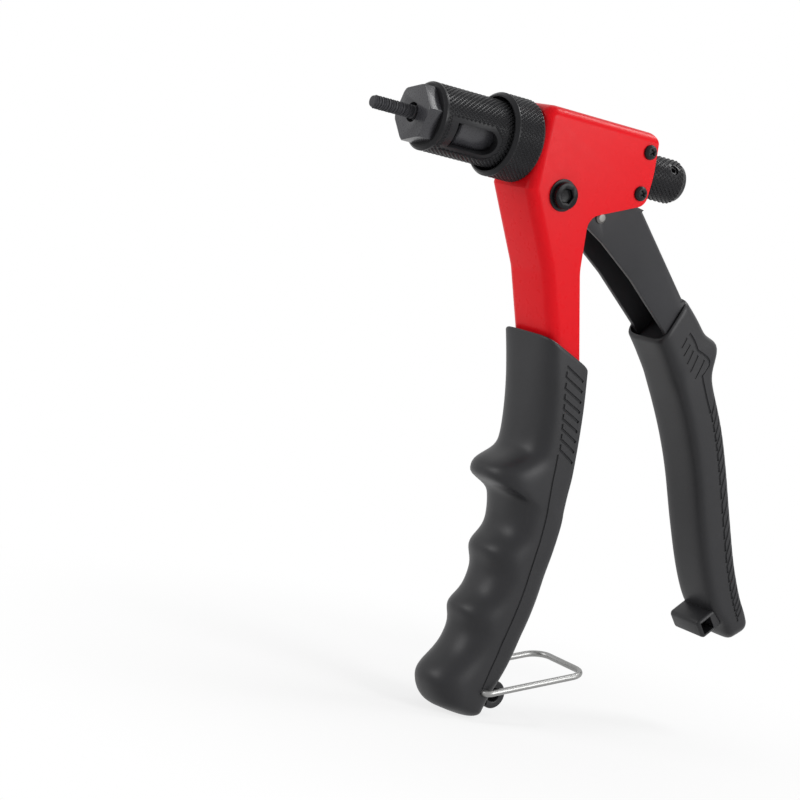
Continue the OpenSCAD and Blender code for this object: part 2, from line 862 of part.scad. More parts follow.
// Side view of the lever, measured from its pivot
lever_rear_path = [[42, 2.2], [72.2, -27], [95.8, -61.2]];
lever_front_path = [[89, -65.5], [65.8, -40.6], [44, -24.4], [26.8, -13.8], [16.9, -8.9], [6, -9]];
lever_outline = rounded(concat(
    [[-5, 8, 2], [0.5, pivot_drop + 6.6, 2]],
    [for (a = [lever_travel + 3 : -3 : 0]) [flank(a).x, flank(a).y, 0]],
    [[flank(0).x, pivot_drop - 5.5, 1.5], [20, 5.5, 8]],
    [for (p = lever_rear_path) [p.x, p.y, p == lever_rear_path[0] ? 2.5 : 0]],
    [for (p = lever_front_path) [p.x, p.y, 0]],
    [[-4, -4, 1]]));

module at_pivot() {
    translate([pivot_x, 0, pivot_z])
        children();
}

cross_pin_at = [21.9, -4.4];

module lever_channel() {
    wall = moved(lever_rear_path, -lever_t);
    color(satin_black)
        at_pivot()
            difference() {
                union() {
                    slab(-lever_half, lever_half)
                        polygon(lever_outline);
                    across(0, 0, -lever_half, lever_half, lever_eye_r);
                }
                slab(-lever_inner, lever_inner)
                    polygon(concat(
                        [wall[0] - 20 * unit(wall[1] - wall[0])],
                        [wall[1], wall[2] + 20 * unit(wall[2] - wall[1])],
                        [[0, -far], [-far, 0], [0, far]]));
                bend_cut(lever_rear_path[0], lever_rear_path[1], lever_half, lever_bend_r);
                across(0, 0, -body_w, body_w, sleeve_r + fit);
                across(cross_pin_at.x, cross_pin_at.y, -body_w, body_w, cross_pin_r);
            }
}

module lever_cross_pin() {
    head = (inner_half - lever_half) * 0.75;
    color(bright_steel)
        at_pivot() {
            across(cross_pin_at.x, cross_pin_at.y, -lever_half, lever_half, cross_pin_r);
            for (side = [0, 1])
                mirror([0, side, 0])
                    across(cross_pin_at.x, cross_pin_at.y, lever_half, lever_half + head, cross_pin_head_r);
        }
}

// Rear grip: stations of front point, rear point and half width, from top to toe
rear_grip_stations = [
    [65.1, -45.5, 73.7, -26.3, rear_grip_half],
    [71.4, -52.1, 85.1, -35.9, rear_grip_half],
    [78.4, -60.5, 92.4, -48.8, rear_grip_half],
    [84.9, -69.1, 99.1, -58.9, rear_grip_half],
    [93, -81.8, 108, -72.8, rear_grip_half - 0.2],
    [100.6, -96, 115.4, -87.4, rear_grip_half - 0.4],
    [109.5, -116.1, 124.7, -107.9, rear_grip_half - 0.7],
    [118.5, -134.3, 132.8, -125.4, rear_grip_half - 0.9],
    [126.8, -146.7, 140.3, -138.6, rear_grip_half - 1],
    [135.4, -153.5, 145.9, -146.6, rear_grip_half - 1],
    [140.6, -160, 150, -154, rear_grip_half - 1]
];
rear_grip_rings = 34;
function rear_grip_ring(t) =
    let (s = station(rear_grip_stations, t * (len(rear_grip_stations) - 1)))
    let (front = [s[0], s[1]], base = [s[2], s[3]])
    let (rear = base + unit(base - front) * ridge(base.y, -46, 5.7, thumb_rest))
    let (size = dome(t, 0.06) * rim(t, 0.02, 0.05))
    let (mid = (front + rear) / 2)
    loop_of(mid + (front - mid) * size, mid + (rear - mid) * size, s[4] * size, 5, 5);

// The lug stands on the front face near the toe
lug_base = [130, -150.8];
lug_along = unit([0.65, -0.76]);
lug_normal = [-0.76, -0.65];
function lug_point(along, out) = lug_base + lug_along * along + lug_normal * out;
function with_radius(p, r) = [p.x, p.y, r];

module rear_grip() {
    color(grip_black)
        at_pivot()
            difference() {
                union() {
                    loft([for (i = [0 : rear_grip_rings]) rear_grip_ring(i / rear_grip_rings)]);
                    slab(-lug_w / 2, lug_w / 2)
                        polygon(rounded([
                            with_radius(lug_point(-lug_len / 2, lug_out), 1.5),
                            with_radius(lug_point(-lug_len / 2, -3), 0),
                            with_radius(lug_point(lug_len / 2, -3), 0),
                            with_radius(lug_point(lug_len / 2, lug_out), 1.5)
                        ]));
                }
                slab(-lever_half, lever_half)
                    polygon(lever_outline);
                slab(-lug_w, lug_w)
                    polygon([for (q = [[-1, -1], [1, -1], [1, 1], [-1, 1]])
                        lug_point(q.x * lug_hole / 2, lug_out / 2 + q.y * lug_hole / 2)]);
            }
}

// One half of the bail, with its hinge on the Y axis and its leg along X
module bail_half() {
    hinge_y = bail_w / 2 - bail_hook_r;
    across(0, 0, hinge_y - bail_hook, hinge_y, bail_wire_r);
    translate([bail_hook_r, hinge_y, 0])
        rotate([0, 0, 90])
            bail_bend(bail_hook_r);
    translate([bail_hook_r, bail_w / 2, 0])
        rotate([0, 90, 0])
            cylinder(h = bail_len - bail_hook_r - bail_corner_r, r = bail_wire_r);
    translate([bail_len - bail_corner_r, bail_w / 2 - bail_corner_r, 0])
        bail_bend(bail_corner_r);
    across(bail_len, 0, -fit, bail_w / 2 - bail_corner_r, bail_wire_r);
}

// Quarter bend of the wire about the origin
module bail_bend(r) {
    rotate_extrude(angle = 90)
        translate([r, 0])
            circle(r = bail_wire_r);
}

module wire_bail() {
    color(bright_steel)
        translate([bail_x, 0, bail_z])
            rotate([0, -bail_angle, 0])
                for (side = [0, 1])
                    mirror([0, side, 0])
                        bail_half();
}

body_frame();
front_grip();
front_bush();
rear_block();
rear_screws();
pivot_bolt();
bolt_washers();
pivot_nut();
pivot_sleeve();
lever_washers();
lock_ring();
barrel();
nosepiece();
mandrel();
chuck();
pull_rod();
rod_collar();
thrust_washer();
yoke_block();
drive_pins();
return_spring();
rear_knob();
knob_set_screw();
lever_channel();
lever_cross_pin();
rear_grip();
wire_bail();
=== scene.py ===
# %% [markdown]
# A hand tool for setting rivet nuts, dressed for a studio picture.
# The solids come in as a fixed frame, and every piece made here rides on one of its bodies.
# All sizes are written in millimetres and turned into metres by one factor, because the
# frame is in metres: X runs back along the nose axis, Y to the far side and Z up.

# %% Load the frame
import bpy
import bmesh
import json
import math
from mathutils import Matrix, Vector


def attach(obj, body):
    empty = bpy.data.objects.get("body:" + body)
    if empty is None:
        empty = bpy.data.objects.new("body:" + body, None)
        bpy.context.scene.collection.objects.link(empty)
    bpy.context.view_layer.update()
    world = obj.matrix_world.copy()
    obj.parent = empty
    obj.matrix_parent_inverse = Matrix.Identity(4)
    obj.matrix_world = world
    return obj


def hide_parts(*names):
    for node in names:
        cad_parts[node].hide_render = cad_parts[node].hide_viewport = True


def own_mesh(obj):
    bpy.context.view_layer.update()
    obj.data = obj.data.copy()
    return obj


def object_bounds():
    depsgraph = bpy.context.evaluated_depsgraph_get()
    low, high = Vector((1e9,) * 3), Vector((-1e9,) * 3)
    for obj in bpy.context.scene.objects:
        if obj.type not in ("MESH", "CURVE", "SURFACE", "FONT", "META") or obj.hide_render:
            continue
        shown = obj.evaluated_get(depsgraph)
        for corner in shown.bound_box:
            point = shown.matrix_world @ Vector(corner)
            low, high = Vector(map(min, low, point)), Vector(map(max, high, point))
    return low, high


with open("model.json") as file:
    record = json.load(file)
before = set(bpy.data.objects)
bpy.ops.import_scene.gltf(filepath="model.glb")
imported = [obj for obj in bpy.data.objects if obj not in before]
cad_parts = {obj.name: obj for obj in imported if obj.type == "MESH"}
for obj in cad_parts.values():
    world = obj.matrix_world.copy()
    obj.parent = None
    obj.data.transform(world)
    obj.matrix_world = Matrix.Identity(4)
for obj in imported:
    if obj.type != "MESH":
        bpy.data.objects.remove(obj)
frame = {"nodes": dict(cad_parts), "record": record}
cad_low, cad_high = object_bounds()
MM = 0.001

# %% [markdown]
# The finishes come first, because every piece asks for one of them by name.
# Real paint, rubber and blackened steel are never one flat colour: each finish here mixes
# two near colours by a soft noise, varies its roughness by a second noise and carries a
# fine bump. Object coordinates are used, so the grain stays put when a body moves.

# %% Finishes
def noise(nodes, links, scale, detail, where):
    n = nodes.new("ShaderNodeTexNoise")
    n.inputs["Scale"].default_value = scale
    n.inputs["Detail"].default_value = detail
    links.new(where, n.inputs["Vector"])
    return n.outputs["Fac"]


def spread(nodes, links, fac, low, high, start=0.3, stop=0.7):
    # Stretch what lies between start and stop so that it runs from low to high
    m = nodes.new("ShaderNodeMapRange")
    limits = {"From Min": start, "From Max": stop, "To Min": low, "To Max": high}
    for label, value in limits.items():
        m.inputs[label].default_value = value
    links.new(fac, m.inputs["Value"])
    return m


def finish(name, dark, light, rough, metal=0.0, cloud=60.0, grain=900.0, bump=0.1,
           depth=0.00005, shine=0.5):
    mat = bpy.data.materials.new(name)
    mat.use_nodes = True
    nodes, links = mat.node_tree.nodes, mat.node_tree.links
    skin = nodes["Principled BSDF"]
    skin.inputs["Metallic"].default_value = metal
    skin.inputs["Specular IOR Level"].default_value = shine
    where = nodes.new("ShaderNodeTexCoord").outputs["Object"]
    mix = nodes.new("ShaderNodeMix")
    mix.data_type = "RGBA"
    mix.inputs[6].default_value = (*dark, 1)
    mix.inputs[7].default_value = (*light, 1)
    links.new(noise(nodes, links, cloud, 3.0, where), mix.inputs[0])
    links.new(mix.outputs[2], skin.inputs["Base Color"])
    fine = noise(nodes, links, grain, 4.0, where)
    links.new(spread(nodes, links, fine, *rough).outputs["Result"], skin.inputs["Roughness"])
    lift = nodes.new("ShaderNodeBump")
    lift.inputs["Strength"].default_value = bump
    lift.inputs["Distance"].default_value = depth
    links.new(fine, lift.inputs["Height"])
    links.new(lift.outputs["Normal"], skin.inputs["Normal"])
    return mat


FINISH = {
    "red_paint": finish("gloss_red_paint", (0.66, 0.004, 0.009), (0.71, 0.007, 0.013),
                        (0.26, 0.32), cloud=14, grain=320, bump=0.01, shine=0.09),
    "black_paint": finish("satin_black_paint", (0.026, 0.026, 0.028), (0.035, 0.035, 0.038),
                          (0.36, 0.46), cloud=40, grain=1600, bump=0.08, depth=0.00004, shine=0.14),
    "grip": finish("moulded_grip", (0.012, 0.012, 0.0134), (0.018, 0.018, 0.0202),
                   (0.38, 0.48), cloud=90, grain=3200, bump=0.3, depth=0.00006, shine=0.28),
    # This near-black finish is painted shade, in the cut marks of both grips and between the thread
    # ridges of the mandrel.
    "groove": finish("groove_shade", (0.003, 0.003, 0.003), (0.006, 0.006, 0.006),
                     (0.70, 0.85), cloud=90, grain=3200, shine=0.05),
    "black_steel": finish("blackened_steel", (0.010, 0.010, 0.011), (0.019, 0.019, 0.021),
                          (0.28, 0.40), cloud=120, grain=1500, bump=0.08, shine=0.14),
    # Darker steel is painted shade: in the sunk rim round the barrel's window, and in the pivot
    # bolt's socket, which darkens the bolt's head with it.
    "painted_shade_steel": finish("black_steel_painted_shade", (0.004, 0.004, 0.005), (0.008, 0.008, 0.009),
                       (0.22, 0.32), cloud=120, grain=1500, bump=0.04, shine=0.12),
    # Lighter steel is painted light: a painted reflection that lightens the nosepiece, and painted
    # light on the chuck seen through the window.
    "painted_light_steel": finish("black_steel_painted_light", (0.028, 0.028, 0.0315), (0.042, 0.042, 0.047),
                         (0.24, 0.34), cloud=150, grain=1500, bump=0.06, shine=0.4),
    "thread_steel": finish("rolled_black_steel", (0.036, 0.036, 0.040), (0.052, 0.052, 0.057),
                           (0.44, 0.54), cloud=150, grain=1500, bump=0.06, shine=0.14),
    "pin_steel": finish("plated_pin_steel", (0.13, 0.125, 0.12), (0.19, 0.185, 0.175),
                        (0.36, 0.48), metal=0.7, cloud=300, grain=1800, bump=0.08, shine=0.3),
    "bright_steel": finish("bright_wire_steel", (0.25, 0.25, 0.245), (0.32, 0.32, 0.315),
                           (0.36, 0.44), metal=1.0, cloud=60, grain=900, bump=0.02),
}
print("finishes:", ", ".join(FINISH))

# %% [markdown]
# A few helpers turn lists of points into meshes and change them afterwards. Bevels and cuts are
# modifiers, and they are baked into a plain mesh before a piece is handed over, so that nothing
# is left to be worked out again when the tool moves.

# %% Mesh helpers
def new_object(name, mesh):
    obj = bpy.data.objects.new(name, mesh)
    bpy.context.scene.collection.objects.link(obj)
    return obj


def meshed(name, bm, angle=None):
    # Smooth mesh, sharp where its faces turn by more than the angle
    mesh = bpy.data.meshes.new(name)
    bm.to_mesh(mesh)
    bm.free()
    mesh.shade_smooth()
    if angle:
        mesh.set_sharp_from_angle(angle=math.radians(angle))
    return mesh


def from_bmesh(name, bm, angle=35):
    bmesh.ops.recalc_face_normals(bm, faces=bm.faces)
    return new_object(name, meshed(name, bm, angle))


def baked(obj):
    # Plain mesh of an object as its modifiers leave it
    graph = bpy.context.evaluated_depsgraph_get()
    return bpy.data.meshes.new_from_object(obj.evaluated_get(graph), depsgraph=graph)


def settled(obj):
    # Put the baked mesh in place of the modifiers
    mesh = baked(obj)
    obj.modifiers.clear()
    obj.data = mesh
    return obj


def soften(obj, width, angle, segments=3, harden=False):
    # Bevel every edge that is sharper than the angle
    soft = obj.modifiers.new("soft_edges", "BEVEL")
    soft.width = width * MM
    soft.segments = segments
    soft.limit_method = "ANGLE"
    soft.angle_limit = math.radians(angle)
    soft.harden_normals = harden


def cut(obj, tool):
    # Take one mesh out of another
    less = obj.modifiers.new("cut", "BOOLEAN")
    less.operation = "DIFFERENCE"
    less.solver = "EXACT"
    less.object = tool
    return less


# %% [markdown]
# A lathe makes every round piece of this tool. A turned piece is a profile spun about the nose
# axis. Its corners are rounded first, because a real edge is never quite sharp and the small
# radius is what catches the light.

# %% Turned pieces
def rounded(points, radii, steps=5, closed=True):
    # Polyline with an arc in place of each corner
    pts = [Vector(p) for p in points]
    n = len(pts)
    out = []
    for i, b in enumerate(pts):
        r = radii[i] if isinstance(radii, (list, tuple)) else radii
        if r == 0 or (not closed and i in (0, n - 1)):
            out.append(b)
            continue
        p = (pts[i - 1] - b).normalized()
        q = (pts[(i + 1) % n] - b).normalized()
        half = math.acos(max(-1, min(1, p.dot(q)))) / 2
        if half > math.radians(89.5):
            out.append(b)
            continue
        mid = b + (p + q).normalized() * r / math.sin(half)
        s = b + p * r / math.tan(half) - mid
        e = b + q * r / math.tan(half) - mid
        turn = math.copysign(math.pi - 2 * half, s.x * e.y - s.y * e.x)
        for k in range(steps + 1):
            c, d = math.cos(turn * k / steps), math.sin(turn * k / steps)
            out.append(mid + Vector((s.x * c - s.y * d, s.x * d + s.y * c)))
    return out


def spun(name, profile, ease=0.25, around=96, closed=False):
    # Turned piece about the nose axis, from points (x, radius) in millimetres
    path = rounded(profile, ease, 4, closed)
    bm = bmesh.new()
    rings = []
    for x, r in path:
        if r < 1e-6:
            rings.append([bm.verts.new((x * MM, 0, 0))])
        else:
            rings.append([bm.verts.new((x * MM, r * MM * math.cos(a), r * MM * math.sin(a)))
                          for a in (2 * math.pi * k / around for k in range(around))])
    pairs = list(zip(rings, rings[1:])) + ([(rings[-1], rings[0])] if closed else [])
    for u, v in pairs:
        for k in range(around):
            m = (k + 1) % around
            corners = [u[k % len(u)], u[m % len(u)], v[m % len(v)], v[k % len(v)]]
            face = list(dict.fromkeys(corners))
            if len(face) > 2:
                bm.faces.new(face)
    return from_bmesh(name, bm)


# %% [markdown]
# Flat-sided pieces keep their exact solids and only get their edges eased, on a copy. The flat
# triangles are merged into whole faces first, so that the bevel follows the true edges.

# %% Softened copies
def eased(node, name, width):
    # Copy of a solid with softened edges
    bm = bmesh.new()
    bm.from_mesh(frame["nodes"][node].data)
    bmesh.ops.remove_doubles(bm, verts=bm.verts, dist=1e-6)
    bmesh.ops.dissolve_limit(bm, angle_limit=math.radians(0.6), verts=bm.verts, edges=bm.edges)
    obj = new_object(name, meshed(name, bm))
    soften(obj, width, 25, harden=True)
    return settled(obj)


# %% [markdown]
# A finished piece is told three things: its finish, the body that carries it and the solids that
# it stands for. Its object stays at the origin, so a piece that lies across the tool is moved by
# its points.

# %% Joining and placing
def joined(name, *objs):
    # Several meshes as one piece
    bm = bmesh.new()
    for o in objs:
        bm.from_mesh(o.data)
    mesh = meshed(name, bm, 35)
    for o in objs:
        bpy.data.objects.remove(o, do_unlink=True)
    return new_object(name, mesh)


def across(obj, x, z, side=-1):
    # Turn a piece spun about X so that its axis runs along side * Y at x, z
    turn = Matrix.Rotation(math.radians(90 * side), 4, "Z")
    obj.data.transform(Matrix.Translation((x * MM, 0, z * MM)) @ turn)
    return obj


def piece(obj, body, slot, *nodes, look=None, cuts=None):
    # Give a piece its finish, its body and the solids that it stands for
    obj.data.materials.clear()
    obj.data.materials.append(FINISH[look or slot])
    if cuts:
        obj.data.materials.append(FINISH[cuts])
    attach(obj, body)
    if nodes:
        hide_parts(*nodes)
    print(obj.name, len(obj.data.polygons), "faces on", body)
    return obj


# %% [markdown]
# The body is one sheet of steel, bent into a channel that is open behind and below.
# Its side view is drawn as an outline with rounded corners. The outline is pulled across the
# tool, the open sides are taken away, the long folds are bevelled into bends, and the skin
# then gets the thickness of the sheet.

# %% Sizes of the body
PAD = 49.3
HALF = 13.0
SHEET = 2.0
HEAD_TOP = 15.3
HEAD_BACK = PAD + 54
PIVOT = Vector((64.2, -15.7))
KNEE = Vector((PAD + 16.6, -45))
LEAN = Vector((math.sin(math.radians(21.8)), -math.cos(math.radians(21.8))))
GRIP_FRONT = KNEE + LEAN * 33
GRIP_BACK = GRIP_FRONT + Vector((13, -1.5))
TANG = Vector((0.17, -1)) * 12
front_side = [(PAD, HEAD_TOP), (PAD, -16.5), KNEE, GRIP_FRONT, GRIP_FRONT + TANG]
rear_side = [GRIP_BACK + TANG, GRIP_BACK, (PAD + 31.2, -41.5), (PAD + 29.2, -21.2),
             (HEAD_BACK + 0.4, -11.8), (HEAD_BACK + 1.1, 1), (HEAD_BACK, HEAD_TOP)]
front_round = [5.2, 0, 14, 20, 0]
rear_round = [0, 20, 24, 6, 5, 60, 0]
BEND = 4.4
CORNER = 4.0
BORE = 10.05
print("corners of the outline:", len(front_side + rear_side))

# %% [markdown]
# On the real tool a press cuts the blank and folds it over a former, so every bend has a radius
# of about twice the sheet. Here the flat skin is drawn first and the folds are bevelled before the
# skin is thickened, because a bend made this way keeps one wall thickness all round it.
# The rear top corner is trimmed last, as a press would, so that the fold runs out cleanly.
# A round bore in the front pad lets the bush through, and the chuck slides back inside it.

# %% The folded sheet
def body_shell():
    outline = rounded(front_side + rear_side, front_round + rear_round, 8)
    open_from = next(i for i, p in enumerate(outline) if (p - Vector(rear_side[0])).length < 1e-4)
    bm = bmesh.new()
    near = [bm.verts.new((p.x * MM, -HALF * MM, p.y * MM)) for p in outline]
    away = [bm.verts.new((p.x * MM, HALF * MM, p.y * MM)) for p in outline]
    bm.faces.new(near)
    bm.faces.new(away[::-1])
    n = len(outline)
    for i in range(n):
        m = (i + 1) % n
        behind = open_from - 1 <= i and outline[i].y < HEAD_TOP - 0.2
        if not behind:
            bm.faces.new((near[i], away[i], away[m], near[m]))
    bmesh.ops.recalc_face_normals(bm, faces=bm.faces)
    folds = [e for e in bm.edges if len(e.link_faces) == 2
             and abs(e.verts[0].co.y - e.verts[1].co.y) < 1e-7]
    bmesh.ops.bevel(bm, geom=folds, offset=BEND * MM, segments=8, profile=0.5,
                    affect="EDGES", clamp_overlap=False)
    for k in range(9):
        a = math.radians(10 * (k + 0.5))
        way = Vector((math.cos(a), 0, math.sin(a)))
        heart = Vector((HEAD_BACK - CORNER, 0, HEAD_TOP - CORNER)) + way * CORNER
        bmesh.ops.bisect_plane(bm, geom=bm.verts[:] + bm.edges[:] + bm.faces[:], clear_outer=True,
                               plane_co=heart * MM, plane_no=way)
    obj = new_object("body_shell", meshed("body_shell", bm))
    wall = obj.modifiers.new("sheet", "SOLIDIFY")
    wall.thickness = SHEET * MM
    wall.offset = -1
    wall.use_even_offset = True
    drill = spun("pad_bore", [(45, 0), (45, BORE), (56, BORE), (56, 0)], 0)
    cut(obj, drill)
    soften(obj, 0.35, 20, harden=True)
    settled(obj)
    bpy.data.objects.remove(drill, do_unlink=True)
    return obj


piece(body_shell(), "frame", "red_paint", "body_frame")

# %% [markdown]
# Both grips are mouldings whose cross-section changes along a curve. Each one is lofted:
# stations give the front point, the rear point and the half width, a smooth curve runs
# through them, and every section is a rounded box whose corners can be made softer.

# %% Loft helpers
def smooth(list_of, u):
    last = len(list_of) - 1
    i = min(int(u), last - 1)
    t = u - i
    a, b, c, d = (list_of[max(0, min(last, i + k))] for k in (-1, 0, 1, 2))
    return [q + (r - p) * t / 2 + (p - 2.5 * q + 2 * r - s / 2) * t * t
            + (1.5 * (q - r) + (s - p) / 2) * t ** 3 for p, q, r, s in zip(a, b, c, d)]


def bell(z, z0, above, below, height, power=2):
    return height * math.exp(-abs((z - z0) / (above if z > z0 else below)) ** power)


def section(front, rear, half, soft_front, soft_rear, count=96):
    mid, arm = (front + rear) / 2, (rear - front) / 2
    ring = []
    for k in range(count):
        a = 2 * math.pi * (k + 0.5) / count
        c, s = math.cos(a), math.sin(a)
        n = soft_rear if c > 0 else soft_front
        p = mid + arm * math.copysign(abs(c) ** (2 / n), c)
        ring.append((p.x * MM, half * math.copysign(abs(s) ** (2 / n), s) * MM, p.y * MM))
    return ring


def lofted(name, rings):
    bm = bmesh.new()
    rows = [[bm.verts.new(p) for p in ring] for ring in rings]
    n = len(rows[0])
    for u, v in zip(rows, rows[1:]):
        for k in range(n):
            bm.faces.new((u[k], u[(k + 1) % n], v[(k + 1) % n], v[k]))
    bm.faces.new(rows[0])
    bm.faces.new(rows[-1])
    return from_bmesh(name, bm, 50)


def closing(t, rim, depth, dome):
    # Rounded rim at the start and rounded end at the finish
    if t < rim:
        return 1 - depth * (1 - t / rim) ** 2
    if t > 1 - dome:
        return math.sqrt(1 - ((t - 1 + dome) / dome) ** 2 * 0.985)
    return 1


def steps_to(count, dense=0.08):
    # Positions from 0 to 1 that crowd together at both ends and in the middle
    even = (i / count for i in range(count + 1))
    return [t + dense * math.sin(4 * math.pi * t) / -4 for t in even]


# %% [markdown]
# The front grip is a soft plastic sleeve moulded over the foot of the body. Its front edge swells
# into four ridges that part the fingers. Each ridge is a bell curve added to the front point of
# the section, so it fades out towards the flat sides just as a moulded ridge does.

# %% Front grip
FRONT = [
    (PAD + 22.4, -67.1, PAD + 46.7, -76.9, 16), (PAD + 27.2, -86.3, PAD + 49.2, -92.7, 16),
    (PAD + 29.3, -104.1, PAD + 51.1, -110.8, 15.8), (PAD + 28.9, -123.7, PAD + 52.6, -131, 15.3),
    (PAD + 30.8, -144.5, PAD + 51.3, -151.1, 14.6), (PAD + 27.1, -164.3, PAD + 48.8, -172.3, 13.9),
    (PAD + 23, -184.1, PAD + 44.4, -191.9, 13.2), (PAD + 22, -202.7, PAD + 38, -208.3, 13.2),
    (PAD + 19.5, -212, PAD + 36, -216.8, 12.2)]
RIDGES = [(-121.8, 7.6, 4.9, 8.9, 2.9), (-121.8, 8.1, 8.1, 2.6), (-150.3, 6, 6, 5.1),
          (-174, 5.2, 5.2, 4), (-201.5, 9.3, 9.3, 8.8)]


def front_row(t):
    s = smooth(FRONT, t * (len(FRONT) - 1))
    base, rear = Vector(s[0:2]), Vector(s[2:4])
    out = sum(bell(base.y, *r) for r in RIDGES)
    front = base - Vector((out, 0))
    size = closing(t, 0.014, 0.05, 0.085)
    arm = (rear - front) / 2 * size
    mid = (front + rear) / 2 + (front - rear) * (0.3 * (1 - size) if t > 0.5 else 0)
    return mid - arm, mid + arm, s[4] * size, 2.3 + 3 * math.exp(-6 * t), 5, rear


def front_section(t):
    return section(*front_row(t)[:5])


front_rings = [front_section(t) for t in steps_to(150)]
front_grip = lofted("front_grip_moulding", front_rings)
print("front grip rings:", len(front_rings))

# %% [markdown]
# The rear grip slips over the lever, so its mouth is a hollow lip with a rounded rim. A swelling
# near the top is the rest for the thumb. The lip is made of a few smaller rings in front of the
# first section, which gives a sunk mouth without any boolean.

# %% Rear grip
REAR = [
    (65.1, -45.5, 73.7, -26.3, 12), (71.4, -52.1, 85.1, -35.9, 12), (78.4, -60.5, 92.4, -48.8, 12),
    (84.9, -69.1, 99.1, -58.9, 12), (93, -81.8, 108, -72.8, 11.8), (100.6, -96, 115.4, -87.4, 11.6),
    (109.5, -116.1, 124.7, -107.9, 11.3), (118.5, -134.3, 132.8, -125.4, 11.1),
    (126.8, -146.7, 140.3, -138.6, 11), (135.4, -153.5, 145.9, -146.6, 11),
    (140.6, -160, 150, -154, 11)]


def rear_row(t):
    s = smooth(REAR, t * (len(REAR) - 1))
    front, base = Vector(s[0:2]) + PIVOT, Vector(s[2:4]) + PIVOT
    rear = base + (base - front).normalized() * bell(s[3], -46, 5.7, 5.7, 6.5)
    size = closing(t, 0.02, 0.05, 0.075)
    mid = (front + rear) / 2
    return mid + (front - mid) * size, mid + (rear - mid) * size, s[4] * size, 5, 5, base


def rear_section(t, lip=0):
    front, rear, half, soft_front, soft_rear = rear_row(t)[:5]
    step = (rear - front).normalized() * lip
    return section(front + step, rear - step, half - lip, soft_front, soft_rear)


mouth = [rear_section(0.05, 1.3), rear_section(0.004, 0.9), rear_section(0, 0.65)]
rear_rings = mouth + [rear_section(t) for t in steps_to(130)]
rear_grip = lofted("rear_grip_moulding", rear_rings)
print("rear grip rings:", len(rear_rings))

# %% [markdown]
# The grips carry small features that are moulded with them: an eye and its web at the foot of
# the front grip, a stop lug with a square hole on the rear grip, and shallow engraved marks.
# Flat features are drawn as outlines and pulled across the tool, and booleans cut the hollows.

# %% Cutting helpers
def prism(name, outline, low, high):
    # Outline (x, z) pulled across the tool from low to high
    bm = bmesh.new()
    base = bm.faces.new([bm.verts.new((p[0] * MM, low * MM, p[1] * MM)) for p in outline])
    made = bmesh.ops.extrude_face_region(bm, geom=[base])["geom"]
    moved = [v for v in made if isinstance(v, bmesh.types.BMVert)]
    bmesh.ops.translate(bm, verts=moved, vec=(0, (high - low) * MM, 0))
    return from_bmesh(name, bm)


def slab(name, outline, half, ease=0.4):
    # Flat piece centred across the tool, with softened edges
    obj = prism(name, outline, -half, half)
    if ease:
        soften(obj, ease, 35)
        settled(obj)
    return obj


def carve(obj, tool, marked=False):
    # Cut a second mesh out of the first and use it up; marked faces get the second material
    if marked:
        for o in (obj, tool):
            o.data.materials.clear()
            for look in ("grip", "groove"):
                o.data.materials.append(FINISH[look])
        tool.data.polygons.foreach_set("material_index", [1] * len(tool.data.polygons))
    cut(obj, tool).use_self = marked
    settled(obj)
    bpy.data.objects.remove(tool, do_unlink=True)
    return obj


# %% [markdown]
# A mark is drawn as a fine tube that follows the surface, given by how far along the grip it
# runs and how far it stays from the rear edge. The tubes are then cut out of the grip, and the
# faces that they leave behind get a darker finish, as a groove looks in shade.

# %% Marks on a surface
def tubes(name, lines, radius, sides=2):
    # Round bars along polylines, as one mesh
    curve = bpy.data.curves.new(name, "CURVE")
    curve.dimensions = "3D"
    curve.bevel_depth = radius * MM
    curve.bevel_resolution = sides
    curve.use_fill_caps = True
    for line in lines:
        spline = curve.splines.new("POLY")
        spline.points.add(len(line) - 1)
        for point, co in zip(spline.points, line):
            point.co = (*co, 1)
    holder = new_object(name + "_path", curve)
    mesh = baked(holder)
    bpy.data.objects.remove(holder, do_unlink=True)
    return new_object(name, mesh)


def surface_point(row, t, back, side):
    # Point on a grip, t along it and back millimetres from its rear edge
    front, rear, half, soft_front, soft_rear, edge = row(t)
    way = (rear - front).normalized()
    p = edge - way * back
    c = max(-0.999, min(0.999, 2 * (p - front).dot(way) / (rear - front).length - 1))
    n = soft_rear if c > 0 else soft_front
    return Vector((p.x, side * half * (1 - abs(c) ** n) ** (1 / n), p.y)) * MM


def mark(row, corners, side, pace=0.006):
    # Polyline on the surface through the corners (t, back)
    line = []
    for (t0, b0), (t1, b1) in zip(corners, corners[1:]):
        count = max(2, int(abs(t1 - t0) / pace), int(abs(b1 - b0) / 1.2))
        line += [surface_point(row, t0 + (t1 - t0) * k / count, b0 + (b1 - b0) * k / count, side)
                 for k in range(count)]
    return line + [surface_point(row, *corners[-1], side)]


# %% [markdown]
# The foot has a round eye for a cord and the pivot of the wire bail. The upper marks are slanting
# flutes, and a long seam shows where the hard and soft plastics meet. They are cut on both sides.

# %% Foot and marks of the front grip
EYE = Vector((93.1, -206.1))
BAIL = Vector((82.2, -203.8))
eye = across(spun("eye_ring", [(-6, 2.7), (6, 2.7), (6, 5.5), (-6, 5.5)], 0.6, 48, True),
             EYE.x, EYE.y)
web = slab("eye_web", [(BAIL.x - 4, EYE.y + 4.5), (EYE.x - 2, EYE.y + 4.9),
                       (EYE.x - 2, EYE.y - 4.9), (BAIL.x - 4, EYE.y - 4.5)], 6)
flutes = [[(0.0352 + 0.0257 * i, 15.2 - 0.35 * i), (0.0487 + 0.0257 * i, 15.2 - 0.35 * i),
           (0.0577 + 0.0262 * i, 5.2 - 0.09 * i)][0 if i else 1:] for i in range(9)]
seam = [(0.268, 12.95), (0.33, 12.9), (0.4, 12), (0.475, 11), (0.6, 10.4), (0.72, 10.3),
        (0.79, 9.3), (0.84, 8)]
marks = [mark(front_row, line, side) for line in flutes + [seam] for side in (-1, 1)]
